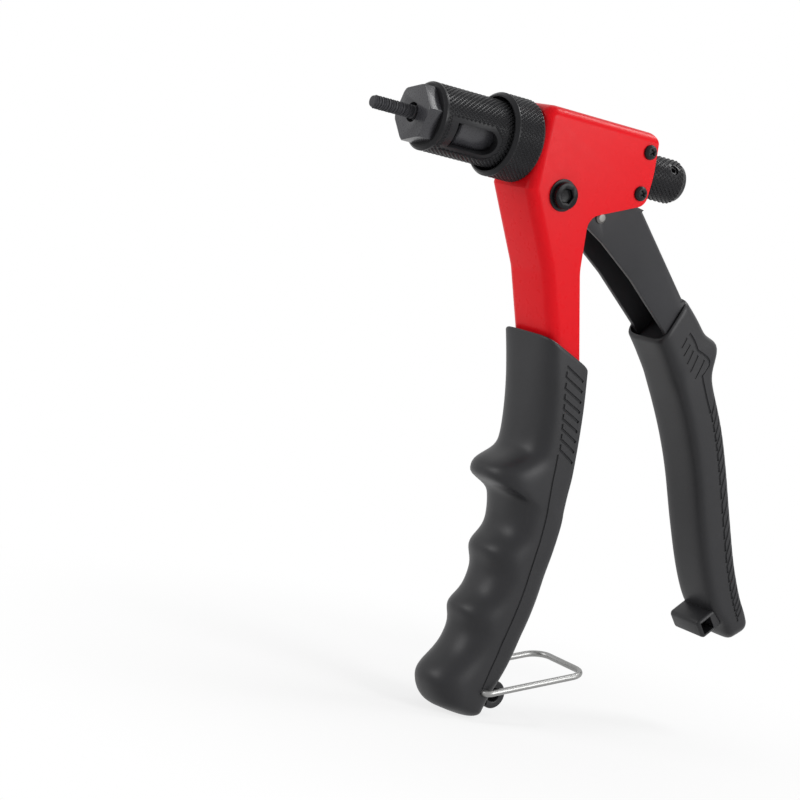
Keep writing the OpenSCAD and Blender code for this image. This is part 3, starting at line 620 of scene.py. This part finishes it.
carve(front_grip, tubes("front_marks", marks, 0.52), True)
front_grip = joined("front_grip_moulding", front_grip, eye, web)
piece(front_grip, "frame", "grip", "front_grip", cuts="groove")

# %% [markdown]
# The lug stops the bail when the handles are shut. In a mould it would be a side pull, so its hole
# is square and runs straight through. The rope pattern down the back is one stroke, repeated.

# %% Lug and marks of the rear grip
LUG = PIVOT + Vector((130, -150.8))
ALONG = Vector((0.65, -0.76)).normalized()
OUTWARD = Vector((-0.76, -0.65)).normalized()


def lug_point(u, v):
    return LUG + ALONG * u + OUTWARD * v


lug = slab("stop_lug", rounded([lug_point(-4.2, 8.2), lug_point(-4.2, -3), lug_point(4.2, -3),
                                lug_point(4.2, 8.2)], [1.7, 0, 0, 1.7]), 9, 1.3)
hole = slab("lug_hole", [lug_point(u * 2.7, 4.1 + v * 2.7) for u, v in
                         ((-1, -1), (1, -1), (1, 1), (-1, 1))], 20, 0)
carve(lug, hole)
thumb = [[(0.0764, 9.99), (0.0867, 14.04)], [(0.1009, 9.81), (0.1151, 14.27)],
         [(0.1252, 8.86), (0.1478, 12.91)], [(0.1496, 6.76), (0.1791, 11.56)],
         [(0.1751, 3.72), (0.2098, 9.66)]]
border = [(0.073, 8.02), (0.1358, 6.55), (0.1738, 2.08), (0.1896, 1.04), (0.1989, 1.51),
          (0.2167, 5.94), (0.2403, 6.19), (0.3029, 6.37), (0.345, 6.1)]
rope = [[(0.309 + 0.0265 * m, 1.0), (0.352 + 0.0265 * m, 5.9), (0.369 + 0.0265 * m, 5.9)]
        for m in range(21)]
marks = [mark(rear_row, line, side) for line in thumb + [border] + rope for side in (-1, 1)]
carve(rear_grip, tubes("rear_marks", marks, 0.5), True)
rear_grip = joined("rear_grip_moulding", rear_grip, lug)
piece(rear_grip, "lever", "grip", "rear_grip", cuts="groove")

# %% [markdown]
# The lever, the nosepiece and the small blocks are made of flat faces and bores, and their
# solids are already right. They only need softened edges, so a short table is enough: the solid,
# the new piece, the width of its softened edges, its body, its slot and a finish of its own.

# %% Pieces with eased edges
EASED = [
    ("lever_channel", "lever_pressing", 0.35, "lever", "black_paint", None),
    # The nosepiece's lighter steel is a painted reflection.
    ("nosepiece", "hexagon_nose", 0.35, "barrel_unit", "black_steel", "painted_light_steel"),
    ("yoke_block", "yoke", 0.5, "carriage", "black_steel", None),
    ("rear_block", "rod_block", 0.4, "frame", "black_steel", None),
    ("pivot_nut", "pivot_hex_nut", 0.4, "frame", "black_steel", None),
    # The pivot bolt's darker steel is painted shade for its socket.
    ("pivot_bolt", "socket_bolt", 0.4, "frame", "black_steel", "painted_shade_steel")]
for node, name, width, body, slot, look in EASED:
    piece(eased(node, name, width), body, slot, node, look=look)

# %% [markdown]
# Barrel, ring and knob are turned bars with a diamond knurl, rolled in by two wheels that cross.
# Each blank is a spun profile a little under size, and a Geometry Nodes tree sets the raised
# diamonds on it: it counts them in staggered rows, stands one small tooth on each point, and
# leaves out those that would lie over the wrench window.

# %% Node tree helpers
def node_tree(name, inputs):
    group = bpy.data.node_groups.new(name, "GeometryNodeTree")
    ids = {}
    for label, kind in inputs:
        made = group.interface.new_socket(name=label, in_out="INPUT",
                                          socket_type="NodeSocket" + kind)
        ids[label] = made.identifier
    group.interface.new_socket(name="Geometry", in_out="OUTPUT", socket_type="NodeSocketGeometry")
    return group, ids, group.nodes.new("NodeGroupInput").outputs


def calc(group, how, a, b=0.0):
    n = group.nodes.new("ShaderNodeMath")
    n.operation = how
    for socket, value in zip(n.inputs, (a, b)):
        if isinstance(value, (int, float)):
            socket.default_value = value
        else:
            group.links.new(value, socket)
    return n.outputs[0]


def chain(group, kind, **wires):
    # One node with its sockets wired by name
    n = group.nodes.new(kind)
    for label, value in wires.items():
        group.links.new(value, n.inputs[label.replace("_", " ")])
    return n


def closed_off(group, geometry, material):
    real = chain(group, "GeometryNodeRealizeInstances", Geometry=geometry)
    painted = chain(group, "GeometryNodeSetMaterial", Geometry=real.outputs[0], Material=material)
    end = group.nodes.new("NodeGroupOutput")
    group.links.new(painted.outputs[0], end.inputs[0])


def grown(name, group, ids, **values):
    obj = new_object(name, bpy.data.meshes.new(name))
    grow = obj.modifiers.new("grow", "NODES")
    grow.node_group = group
    for label, value in values.items():
        grow[ids[label.replace("_", " ")]] = value
    return settled(obj)


# %% [markdown]
# The tree numbers the teeth, turns each number into a row and a place round the bar, and shifts
# every second row by half a step. That stagger is what makes the pattern read as diamonds.

# %% Knurl tree
def knurl_tree():
    group, ids, put = node_tree("diamond_knurl", [
        ("Tooth", "Object"), ("Around", "Int"), ("Rows", "Int"), ("Radius", "Float"),
        ("Start", "Float"), ("Length", "Float"), ("Gap angle", "Float"), ("Gap front", "Float"),
        ("Gap rear", "Float"), ("Gap half", "Float"), ("Material", "Material")])
    index = group.nodes.new("GeometryNodeInputIndex").outputs[0]
    row = calc(group, "FLOOR", calc(group, "DIVIDE", calc(group, "ADD", index, 0.5), put["Around"]))
    column = calc(group, "SUBTRACT", index, calc(group, "MULTIPLY", row, put["Around"]))
    shift = calc(group, "MULTIPLY", calc(group, "MODULO", row, 2.0), 0.5)
    turned = calc(group, "MULTIPLY", calc(group, "ADD", column, shift), math.tau)
    angle = calc(group, "DIVIDE", turned, put["Around"])
    x = calc(group, "ADD", put["Start"], calc(group, "DIVIDE", calc(
        group, "MULTIPLY", calc(group, "ADD", row, 0.5), put["Length"]), put["Rows"]))
    place = chain(group, "ShaderNodeCombineXYZ", X=x,
                  Y=calc(group, "MULTIPLY", put["Radius"], calc(group, "COSINE", angle)),
                  Z=calc(group, "MULTIPLY", put["Radius"], calc(group, "SINE", angle)))
    count = calc(group, "MULTIPLY", put["Around"], put["Rows"])
    cloud = chain(group, "GeometryNodePoints", Count=count)
    spots = chain(group, "GeometryNodeSetPosition", Geometry=cloud.outputs[0],
                  Position=place.outputs[0])
    off = calc(group, "SUBTRACT", angle, put["Gap angle"])
    along = calc(group, "MAXIMUM", calc(group, "SUBTRACT", x, put["Gap rear"]), 0.0)
    aside = calc(group, "MULTIPLY", put["Radius"], calc(group, "SINE", off))
    reach = calc(group, "SQRT", calc(group, "ADD", calc(group, "MULTIPLY", along, along),
                                     calc(group, "MULTIPLY", aside, aside)))
    inside = calc(group, "MULTIPLY", calc(group, "LESS_THAN", reach, put["Gap half"]), calc(
        group, "MULTIPLY", calc(group, "GREATER_THAN", x, put["Gap front"]),
        calc(group, "GREATER_THAN", calc(group, "COSINE", off), 0.0)))
    kept = chain(group, "GeometryNodeDeleteGeometry", Geometry=spots.outputs[0], Selection=inside)
    parts = chain(group, "ShaderNodeSeparateXYZ",
                  Vector=group.nodes.new("GeometryNodeInputPosition").outputs[0]).outputs
    lean = calc(group, "SUBTRACT", calc(group, "ARCTAN2", parts["Z"], parts["Y"]), math.pi / 2)
    turn = chain(group, "ShaderNodeCombineXYZ", X=lean)
    tooth = chain(group, "GeometryNodeObjectInfo", Object=put["Tooth"])
    teeth = chain(group, "GeometryNodeInstanceOnPoints", Points=kept.outputs[0],
                  Instance=tooth.outputs["Geometry"], Rotation=turn.outputs[0])
    closed_off(group, teeth.outputs[0], put["Material"])
    return group, ids


KNURL = knurl_tree()


def knurl(name, radius, x0, x1, around, lean=1.12, deep=0.38, gap=(0, 1, 1, 0)):
    # Raised diamonds on a blank, from x0 to x1
    wide = math.pi * radius / around
    rows = round((x1 - x0) / (wide * lean))
    long = (x1 - x0) / rows
    bm = bmesh.new()
    low = [bm.verts.new((u * long * MM, v * wide * MM, -0.08 * MM)) for u, v in
           ((1, 0), (0, 1), (-1, 0), (0, -1))]
    top = [bm.verts.new((v.co.x * 0.22, v.co.y * 0.22, deep * MM)) for v in low]
    bm.faces.new(top)
    for k in range(4):
        bm.faces.new((low[k], low[(k + 1) % 4], top[(k + 1) % 4], top[k]))
    tooth = from_bmesh("tooth", bm, 10)
    made = grown(name, *KNURL, Tooth=tooth, Around=around, Rows=rows, Radius=(radius - deep) * MM,
                 Start=x0 * MM, Length=(x1 - x0) * MM, Gap_angle=math.radians(gap[0]),
                 Gap_front=gap[1] * MM, Gap_rear=gap[2] * MM, Gap_half=gap[3] * MM,
                 Material=FINISH["black_steel"])
    bpy.data.objects.remove(tooth, do_unlink=True)
    print(name, "teeth:", len(made.data.polygons) // 5)
    return made


# %% [markdown]
# The barrel screws into the body and sets how far the nose stands out. Its window lets a wrench
# reach the flats of the chuck inside. A mill cuts a sunk rim first and then the opening, so the
# same prism is used here twice, in two sizes.

# %% Barrel with its window
WINDOW = 205
WINDOW_FRONT, WINDOW_END, WINDOW_HALF = 12.6, 26.7, 4.9
RIM_FRONT, RIM_HALF, RIM_FLOOR = 10.2, 7.1, 11.9
BARREL_R, RING_R, KNOB_R = 12.5, 15.5, 8.6


def window_tool(name, front, half):
    # Prism with a straight front end and a round rear end, turned to the window's side
    path = [(front, -half)]
    path += [(WINDOW_END + half * math.cos(a), half * math.sin(a)) for a in
             (math.pi * (k / 20 - 0.5) for k in range(21))] + [(front, half)]
    tool = prism(name, path, 5, 17)
    tool.data.transform(Matrix.Rotation(math.radians(WINDOW), 4, "X"))
    return tool


barrel = spun("barrel_blank", [(5.5, 8), (11.5, 8), (11.5, 9.2), (32, 9.2), (32, 10.05),
                               (44.6, 10.05), (44.6, 12.1), (7.5, 12.16), (7.3, BARREL_R),
                               (6.4, BARREL_R), (5.5, 11.6)], 0.18, 128, True)
rim = window_tool("window_rim", RIM_FRONT, RIM_HALF)
carve(rim, spun("rim_core", [(2, 0), (2, RIM_FLOOR), (48, RIM_FLOOR), (48, 0)], 0, 128))
# The sunk rim's faces are marked here, and below they get the darker steel as painted shade in the
# recess.
carve(barrel, rim, True)
carve(barrel, window_tool("window", WINDOW_FRONT, WINDOW_HALF))
soften(barrel, 0.25, 40, 2)
settled(barrel)
teeth = knurl("barrel_teeth", BARREL_R, 7.9, 43.6, 47, gap=(WINDOW, RIM_FRONT, WINDOW_END, 7.0))
piece(joined("knurled_barrel", barrel, teeth), "barrel_unit", "black_steel", "barrel",
      cuts="painted_shade_steel")

# %% [markdown]
# The chuck holds the threaded rod. It is a turned sleeve with two milled flats that face the
# window. It shows through the opening as a lighter surface, because its steel is made lighter as
# painted light.

# %% Chuck with its wrench flats
FLAT_FRONT, FLAT_REAR, FLAT_AT = 17, 40, 7.6
chuck = spun("chuck_with_flats", [(16, 4.05), (47, 4.05), (47, 7.9), (46.4, 8.5), (16.6, 8.5),
                                  (16, 7.9)], 0.2, 96, True)
for half_turn in (0, 180):
    flat = slab("flat", [(FLAT_FRONT, FLAT_AT), (FLAT_REAR, FLAT_AT), (FLAT_REAR, 12),
                         (FLAT_FRONT, 12)], 9, 0)
    flat.data.transform(Matrix.Rotation(math.radians(WINDOW - 90 + half_turn), 4, "X"))
    carve(chuck, flat)
# The chuck's lighter steel is painted light.
piece(chuck, "spindle", "black_steel", "chuck", look="painted_light_steel")

# %% [markdown]
# The ring jams the barrel against the body. It is wider than the barrel and hollow in front, so
# that the barrel seems to sink into it. Its knurl is finger-tight, with no place for a wrench.

# %% Lock ring
ring = spun("ring_blank", [(35.7, 13.7), (44.7, 13.7), (44.7, 10.05), (49.2, 10.05), (49.2, 14.7),
                           (48.7, 15.1), (37.5, 15.12), (37.3, RING_R), (36.9, RING_R),
                           (35.7, 14.4)], 0.15, 128, True)
teeth = knurl("ring_teeth", RING_R, 37.8, 48.5, 58)
piece(joined("knurled_ring", ring, teeth), "ring_unit", "black_steel", "lock_ring")

# %% [markdown]
# The knob turns the whole spindle by hand to thread a rivet nut on or off. A small screw with a
# hexagon hole clamps it to the rod, and the knurl leaves a bare patch round that hole.

# %% Rear knob with its set screw
SCREW_X, SCREW_TURN = 118.9, 147


def radial(obj, x, turn):
    # Stand a piece spun about X on the nose axis at x, pointing out at the angle turn
    out = Matrix.Rotation(math.radians(turn), 4, "X") @ Matrix.Rotation(math.radians(90), 4, "Z")
    obj.data.transform(Matrix.Translation((x * MM, 0, 0)) @ out)
    return obj


knob = spun("knob_blank", [(106, 0), (106, 7.8), (106.6, 8.25), (123.2, 8.25), (125.6, 7.4),
                           (126.7, 5.6), (127, 3.2), (127, 0)], 0.4, 96)
drill = spun("screw_hole", [(5, 0), (5, 2), (11, 2), (11, 0)], 0, 40)
carve(knob, radial(drill, SCREW_X, SCREW_TURN))
teeth = knurl("knob_teeth", KNOB_R, 106.9, 123.6, 28, gap=(SCREW_TURN, 116.7, SCREW_X, 2.2))
piece(joined("knurled_knob", knob, teeth), "spindle", "black_steel", "rear_knob")
grub = spun("set_screw", [(5.1, 0), (5.1, 1.96), (7.3, 1.96), (7.6, 1.7), (7.6, 1.05),
                          (6.4, 1.05), (6.4, 0)], 0.05, 24)
piece(radial(grub, SCREW_X, SCREW_TURN), "spindle", "black_steel", "knob_set_screw")

# %% [markdown]
# The thread of the mandrel and the return spring are one thing with two sets of sizes: a section
# that winds along an axis. One Geometry Nodes tree sweeps a small polygon along a spiral, so the
# mandrel gets a sharp four-sided ridge and the spring gets a round wire.

# %% Coil tree
def coil_tree():
    group, ids, put = node_tree("coil", [
        ("Turns", "Float"), ("Steps", "Int"), ("Radius", "Float"), ("Height", "Float"),
        ("Wire", "Float"), ("Sides", "Int"), ("Start", "Float"), ("Material", "Material")])
    path = chain(group, "GeometryNodeCurveSpiral", Resolution=put["Steps"], Rotations=put["Turns"],
                 Start_Radius=put["Radius"], End_Radius=put["Radius"], Height=put["Height"])
    wire = chain(group, "GeometryNodeCurvePrimitiveCircle", Resolution=put["Sides"],
                 Radius=put["Wire"])
    swept = chain(group, "GeometryNodeCurveToMesh", Curve=path.outputs[0],
                  Profile_Curve=wire.outputs[0])
    swept.inputs["Fill Caps"].default_value = True
    away = chain(group, "ShaderNodeCombineXYZ", X=put["Start"])
    laid = chain(group, "GeometryNodeTransform", Geometry=swept.outputs[0],
                 Translation=away.outputs[0])
    laid.inputs["Rotation"].default_value = (0, math.pi / 2, 0)
    closed_off(group, laid.outputs[0], put["Material"])
    return group, ids


COIL = coil_tree()

# %% [markdown]
# The mandrel is what the rivet nut screws on to. A real one is hardened and has a rolled thread. A
# plain core plus one winding ridge gives the same outline with very few faces, and the core is
# painted near-black as shade between the ridges, so that the grooves read.

# %% Threaded mandrel
TIP, CORE_R, CORE_END = -17.3, 2.1, 2.2
rod = spun("mandrel_rod", [(TIP, 0), (TIP, 1.9), (-16.9, CORE_R), (CORE_END, CORE_R),
                           (CORE_END, 3.3), (4.4, 3.3), (4.4, 5.6), (11.8, 5.6), (11.8, 6),
                           (16, 6), (16, 4), (28, 4), (28, 0)], 0.1, 48)
# Faces of the core between the ridges get the second finish, which is painted shade.
rod.data.polygons.foreach_set("material_index", [
    int(-16.8 * MM < face.center.x < 2 * MM) for face in rod.data.polygons])
ridge = grown("mandrel_ridge", *COIL, Turns=18.0, Steps=28, Radius=2.14 * MM, Height=18.4 * MM,
              Wire=0.36 * MM, Sides=4, Start=-16.6 * MM, Material=FINISH["black_steel"])
piece(joined("threaded_mandrel", rod, ridge), "spindle", "black_steel", "mandrel",
      look="thread_steel", cuts="groove")

# %% [markdown]
# The spring pushes the rod forward again after each stroke. It rides on the frame, so that its rear
# end stays on the block behind it.

# %% Return spring
spring = grown("rod_spring", *COIL, Turns=5.0, Steps=40, Radius=9 * MM, Height=17.6 * MM,
               Wire=0.8 * MM, Sides=12, Start=80.5 * MM, Material=FINISH["bright_steel"])
spring.data.shade_smooth()
piece(spring, "frame", "bright_steel", "return_spring")
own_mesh(spring)

# %% [markdown]
# Small hardware: washers, pins and screws. Turned pieces are spun and laid across the tool. The
# four cross-recess screws are one shape, so a tree stands it on four points, turned to its side.

# %% Washers and pins across the tool
def washer_pair(name, x, z, start, thick, outer, inner):
    end = start + thick
    rings = []
    for side in (-1, 1):
        blank = spun(name + str(side), [(start, inner), (end, inner), (end, outer), (start, outer)],
                     0.15, 64, True)
        rings.append(across(blank, x, z, side))
    return joined(name, *rings)


piece(washer_pair("bolt_washer_pair", PIVOT.x, PIVOT.y, 13, 0.6, 6, 3.05), "frame", "black_steel",
      "bolt_washers")
PIN_BACK, PIN_DOWN = 21.9, 4.4
half_pin = [(-11.6, 0), (-11.6, 1.4), (-10.9, 2.2), (-10.4, 2.2), (-10.4, 1.5)]
whole_pin = half_pin + [(-x, r) for x, r in half_pin[::-1]]
pin = spun("cross_pin_blank", whole_pin, 0.2, 40)
pin = across(pin, PIVOT.x + PIN_BACK, PIVOT.y - PIN_DOWN)
pin.name = "bright_cross_pin"
piece(pin, "lever", "bright_steel", "lever_cross_pin", look="pin_steel")

# %% [markdown]
# These screws hold the rear block between the sides of the body. The recess is two tapered wings
# that cross, cut into one turned head, and the tree then places the finished screw four times.

# %% Cross-recess screws
def screw_tree():
    group, ids, put = node_tree("four_screws", [
        ("Screw", "Object"), ("X", "Float"), ("Face", "Float"), ("Rise", "Float"),
        ("Material", "Material")])
    index = group.nodes.new("GeometryNodeInputIndex").outputs[0]
    odd = calc(group, "MODULO", index, 2.0)
    level = calc(group, "SUBTRACT", calc(group, "MULTIPLY", odd, 2.0), 1.0)
    half = calc(group, "FLOOR", calc(group, "DIVIDE", index, 2.0))
    side = calc(group, "SUBTRACT", calc(group, "MULTIPLY", half, 2.0), 1.0)
    place = chain(group, "ShaderNodeCombineXYZ", X=put["X"],
                  Y=calc(group, "MULTIPLY", side, put["Face"]),
                  Z=calc(group, "MULTIPLY", level, put["Rise"]))
    cloud = group.nodes.new("GeometryNodePoints")
    cloud.inputs["Count"].default_value = 4
    spots = chain(group, "GeometryNodeSetPosition", Geometry=cloud.outputs[0],
                  Position=place.outputs[0])
    parts = chain(group, "ShaderNodeSeparateXYZ",
                  Vector=group.nodes.new("GeometryNodeInputPosition").outputs[0]).outputs
    aim = calc(group, "MULTIPLY", calc(group, "SIGN", parts["Y"]), math.pi / 2)
    turn = chain(group, "ShaderNodeCombineXYZ", Z=aim)
    screw = chain(group, "GeometryNodeObjectInfo", Object=put["Screw"])
    set_in = chain(group, "GeometryNodeInstanceOnPoints", Points=spots.outputs[0],
                   Instance=screw.outputs["Geometry"], Rotation=turn.outputs[0])
    closed_off(group, set_in.outputs[0], put["Material"])
    return group, ids


screw = spun("pan_screw", [(-4.5, 0), (-4.5, 1.5), (0, 1.5), (0, 2.8), (0.8, 2.8), (1.6, 2.1),
                           (1.9, 1.2), (1.9, 0)], [0, 0.1, 0, 0.1, 0.5, 0.6, 0.4, 0], 40)
for turned in (35, 125):
    wing = slab("wing", [(0.75, -0.85), (2.5, -1.85), (2.5, 1.85), (0.75, 0.85)], 0.42, 0)
    wing.data.transform(Matrix.Rotation(math.radians(turned), 4, "X"))
    carve(screw, wing)
screws = grown("cross_recess_screws", *screw_tree(), Screw=screw, X=99.9 * MM, Face=HALF * MM,
               Rise=7.9 * MM, Material=FINISH["black_steel"])
bpy.data.objects.remove(screw, do_unlink=True)
piece(screws, "frame", "black_steel", "rear_screws")

# %% [markdown]
# The bail is one bent wire that hooks over the lug and keeps the handles together. It is drawn as
# a path with round bends and swept with a circle, just as a wire former would feed and bend it.

# %% Wire bail
def bend(cx, cy, r, a0, a1):
    return [(cx + r * math.cos(math.radians(a)), cy + r * math.sin(math.radians(a)))
            for a in (a0 + (a1 - a0) * k / 10 for k in range(11))]


BAIL_TILT, WIRE_R = -14, 1.25
half_wire = [(0, 8.95)] + bend(2.5, 12.95, 2.5, 180, 90) + bend(40.5, 8.45, 7, 90, 0)
whole = half_wire + [(x, -y) for x, y in half_wire[::-1]]
tilt = Matrix.Rotation(math.radians(BAIL_TILT), 3, "Y")
wire = tubes("bail_wire", [[(tilt @ Vector((x, y, 0)) + Vector((BAIL.x, 0, BAIL.y))) * MM
                            for x, y in whole]], WIRE_R, 5)
wire.data.shade_smooth()
piece(wire, "bail", "bright_steel", "wire_bail")

# %% [markdown]
# The camera stands where the picture was taken from: about 35 degrees round to the front, a
# little above, and rolled. The nose's origin has a known place in the picture, and the camera is
# moved sideways until the origin falls there.

# %% Camera
PICTURE, FOCAL, DISTANCE = 800, 2200, 777.3
ORIGIN_X, ORIGIN_Y = 411.92, 111.8
turn, rise, roll = (math.radians(a) for a in (35.19, 4.34, 13.16))
look = Vector((math.sin(turn) * math.cos(rise), math.cos(turn) * math.cos(rise), -math.sin(rise)))
level = Vector((math.cos(turn), -math.sin(turn), 0))
right = level * math.cos(roll) + level.cross(look) * math.sin(roll)
up = level.cross(look) * math.cos(roll) - level * math.sin(roll)
middle = PICTURE / 2
spot = -(right * (ORIGIN_X - middle) / FOCAL * DISTANCE
         - up * (ORIGIN_Y - middle) / FOCAL * DISTANCE + look * DISTANCE)
camera = bpy.data.objects.new("camera", bpy.data.cameras.new("camera"))
camera.data.sensor_width = 36
camera.data.lens = FOCAL / PICTURE * 36
camera.matrix_world = Matrix((
    (right.x, up.x, -look.x, spot.x * MM),
    (right.y, up.y, -look.y, spot.y * MM),
    (right.z, up.z, -look.z, spot.z * MM),
    (0, 0, 0, 1)))
bpy.context.scene.collection.objects.link(camera)
bpy.context.scene.camera = camera
print("camera at", [round(v, 3) for v in camera.location])

# %% [markdown]
# A wide key lamp lights the near side, a weaker one fills the front and a small one draws a line
# along the top fold.

# %% Lights
def lamp(name, place, target, size, power):
    data = bpy.data.lights.new(name, "AREA")
    data.shape = "DISK"
    data.size = size
    data.energy = power
    obj = bpy.data.objects.new(name, data)
    obj.location = place
    obj.rotation_euler = (Vector(target) - Vector(place)).to_track_quat("-Z", "Y").to_euler()
    bpy.context.scene.collection.objects.link(obj)


MIDDLE = (0.08, 0, -0.08)
lamp("key_lamp", (0.5, -0.93, 0.25), MIDDLE, 0.6, 7.4)
lamp("fill_lamp", (-0.885, 0.256, 0.22), MIDDLE, 0.6, 4.5)
lamp("top_lamp", (0.6, -0.05, 0.63), (0.08, 0, -0.03), 0.3, 2.5)

# %% [markdown]
# The background is pure white to the camera and in reflections, but dim as a source of light, so
# that it does not wash out the dark parts.

# %% Background
def seen_rays(tree):
    # 1 for what the camera sees straight, in a reflection or through glass
    path = tree.nodes.new("ShaderNodeLightPath").outputs
    mirrored = calc(tree, "MAXIMUM", path["Is Camera Ray"], path["Is Glossy Ray"])
    return calc(tree, "MAXIMUM", mirrored, path["Is Transmission Ray"])


DIM, WHITE = 0.3, 1.0
world = bpy.data.worlds.new("studio")
bpy.context.scene.world = world
world.use_nodes = True
nodes, links = world.node_tree.nodes, world.node_tree.links
strength = spread(nodes, links, seen_rays(world.node_tree), DIM, WHITE, 0, 1)
links.new(strength.outputs["Result"], nodes["Background"].inputs["Strength"])
nodes["Background"].inputs["Color"].default_value = (1, 1, 1, 1)
print("background:", WHITE, "when seen and", DIM, "as a light")

# %% [markdown]
# The floor is a wide sheet of white paper just below the foot of the front grip.

# %% Floor
foot = min(v.co.z for v in front_grip.data.vertices)
bm = bmesh.new()
bmesh.ops.create_circle(bm, cap_ends=True, segments=96, radius=3)
bmesh.ops.translate(bm, verts=bm.verts, vec=(0, 0, foot - 0.2 * MM))
floor = from_bmesh("floor", bm)
print("floor under the foot at", round(foot, 4))

# %% [markdown]
# The paper only has to show the shadow under the foot. Most of what the camera sees of it is an
# even glow, and the glow takes over completely a little way off.

# %% Paper of the floor
paper = bpy.data.materials.new("white_paper")
paper.use_nodes = True
nodes, links = paper.node_tree.nodes, paper.node_tree.links
nodes["Principled BSDF"].inputs["Base Color"].default_value = (0.9, 0.9, 0.9, 1)
nodes["Principled BSDF"].inputs["Roughness"].default_value = 0.9
glow = nodes.new("ShaderNodeEmission")
away = nodes.new("ShaderNodeVectorMath")
away.operation = "DISTANCE"
away.inputs[1].default_value = (0.1, 0, cad_low[2])
links.new(nodes.new("ShaderNodeTexCoord").outputs["Object"], away.inputs[0])
fade = spread(nodes, links, away.outputs["Value"], 0.78, 1.0, 0.04, 0.24)
fade.interpolation_type = "SMOOTHSTEP"
share = calc(paper.node_tree, "MULTIPLY", seen_rays(paper.node_tree), fade.outputs["Result"])
blend = nodes.new("ShaderNodeMixShader")
links.new(share, blend.inputs["Fac"])
links.new(nodes["Principled BSDF"].outputs[0], blend.inputs[1])
links.new(glow.outputs[0], blend.inputs[2])
links.new(blend.outputs[0], nodes["Material Output"].inputs["Surface"])
floor.data.materials.append(paper)
bpy.context.scene.view_settings.view_transform = "Standard"

for name, obj in frame["nodes"].items():
    slot = next(s["material_slot"] for s in frame["record"]["subparts"] if s["node"] == name)
    for s in obj.material_slots:
        s.material = FINISH[slot]
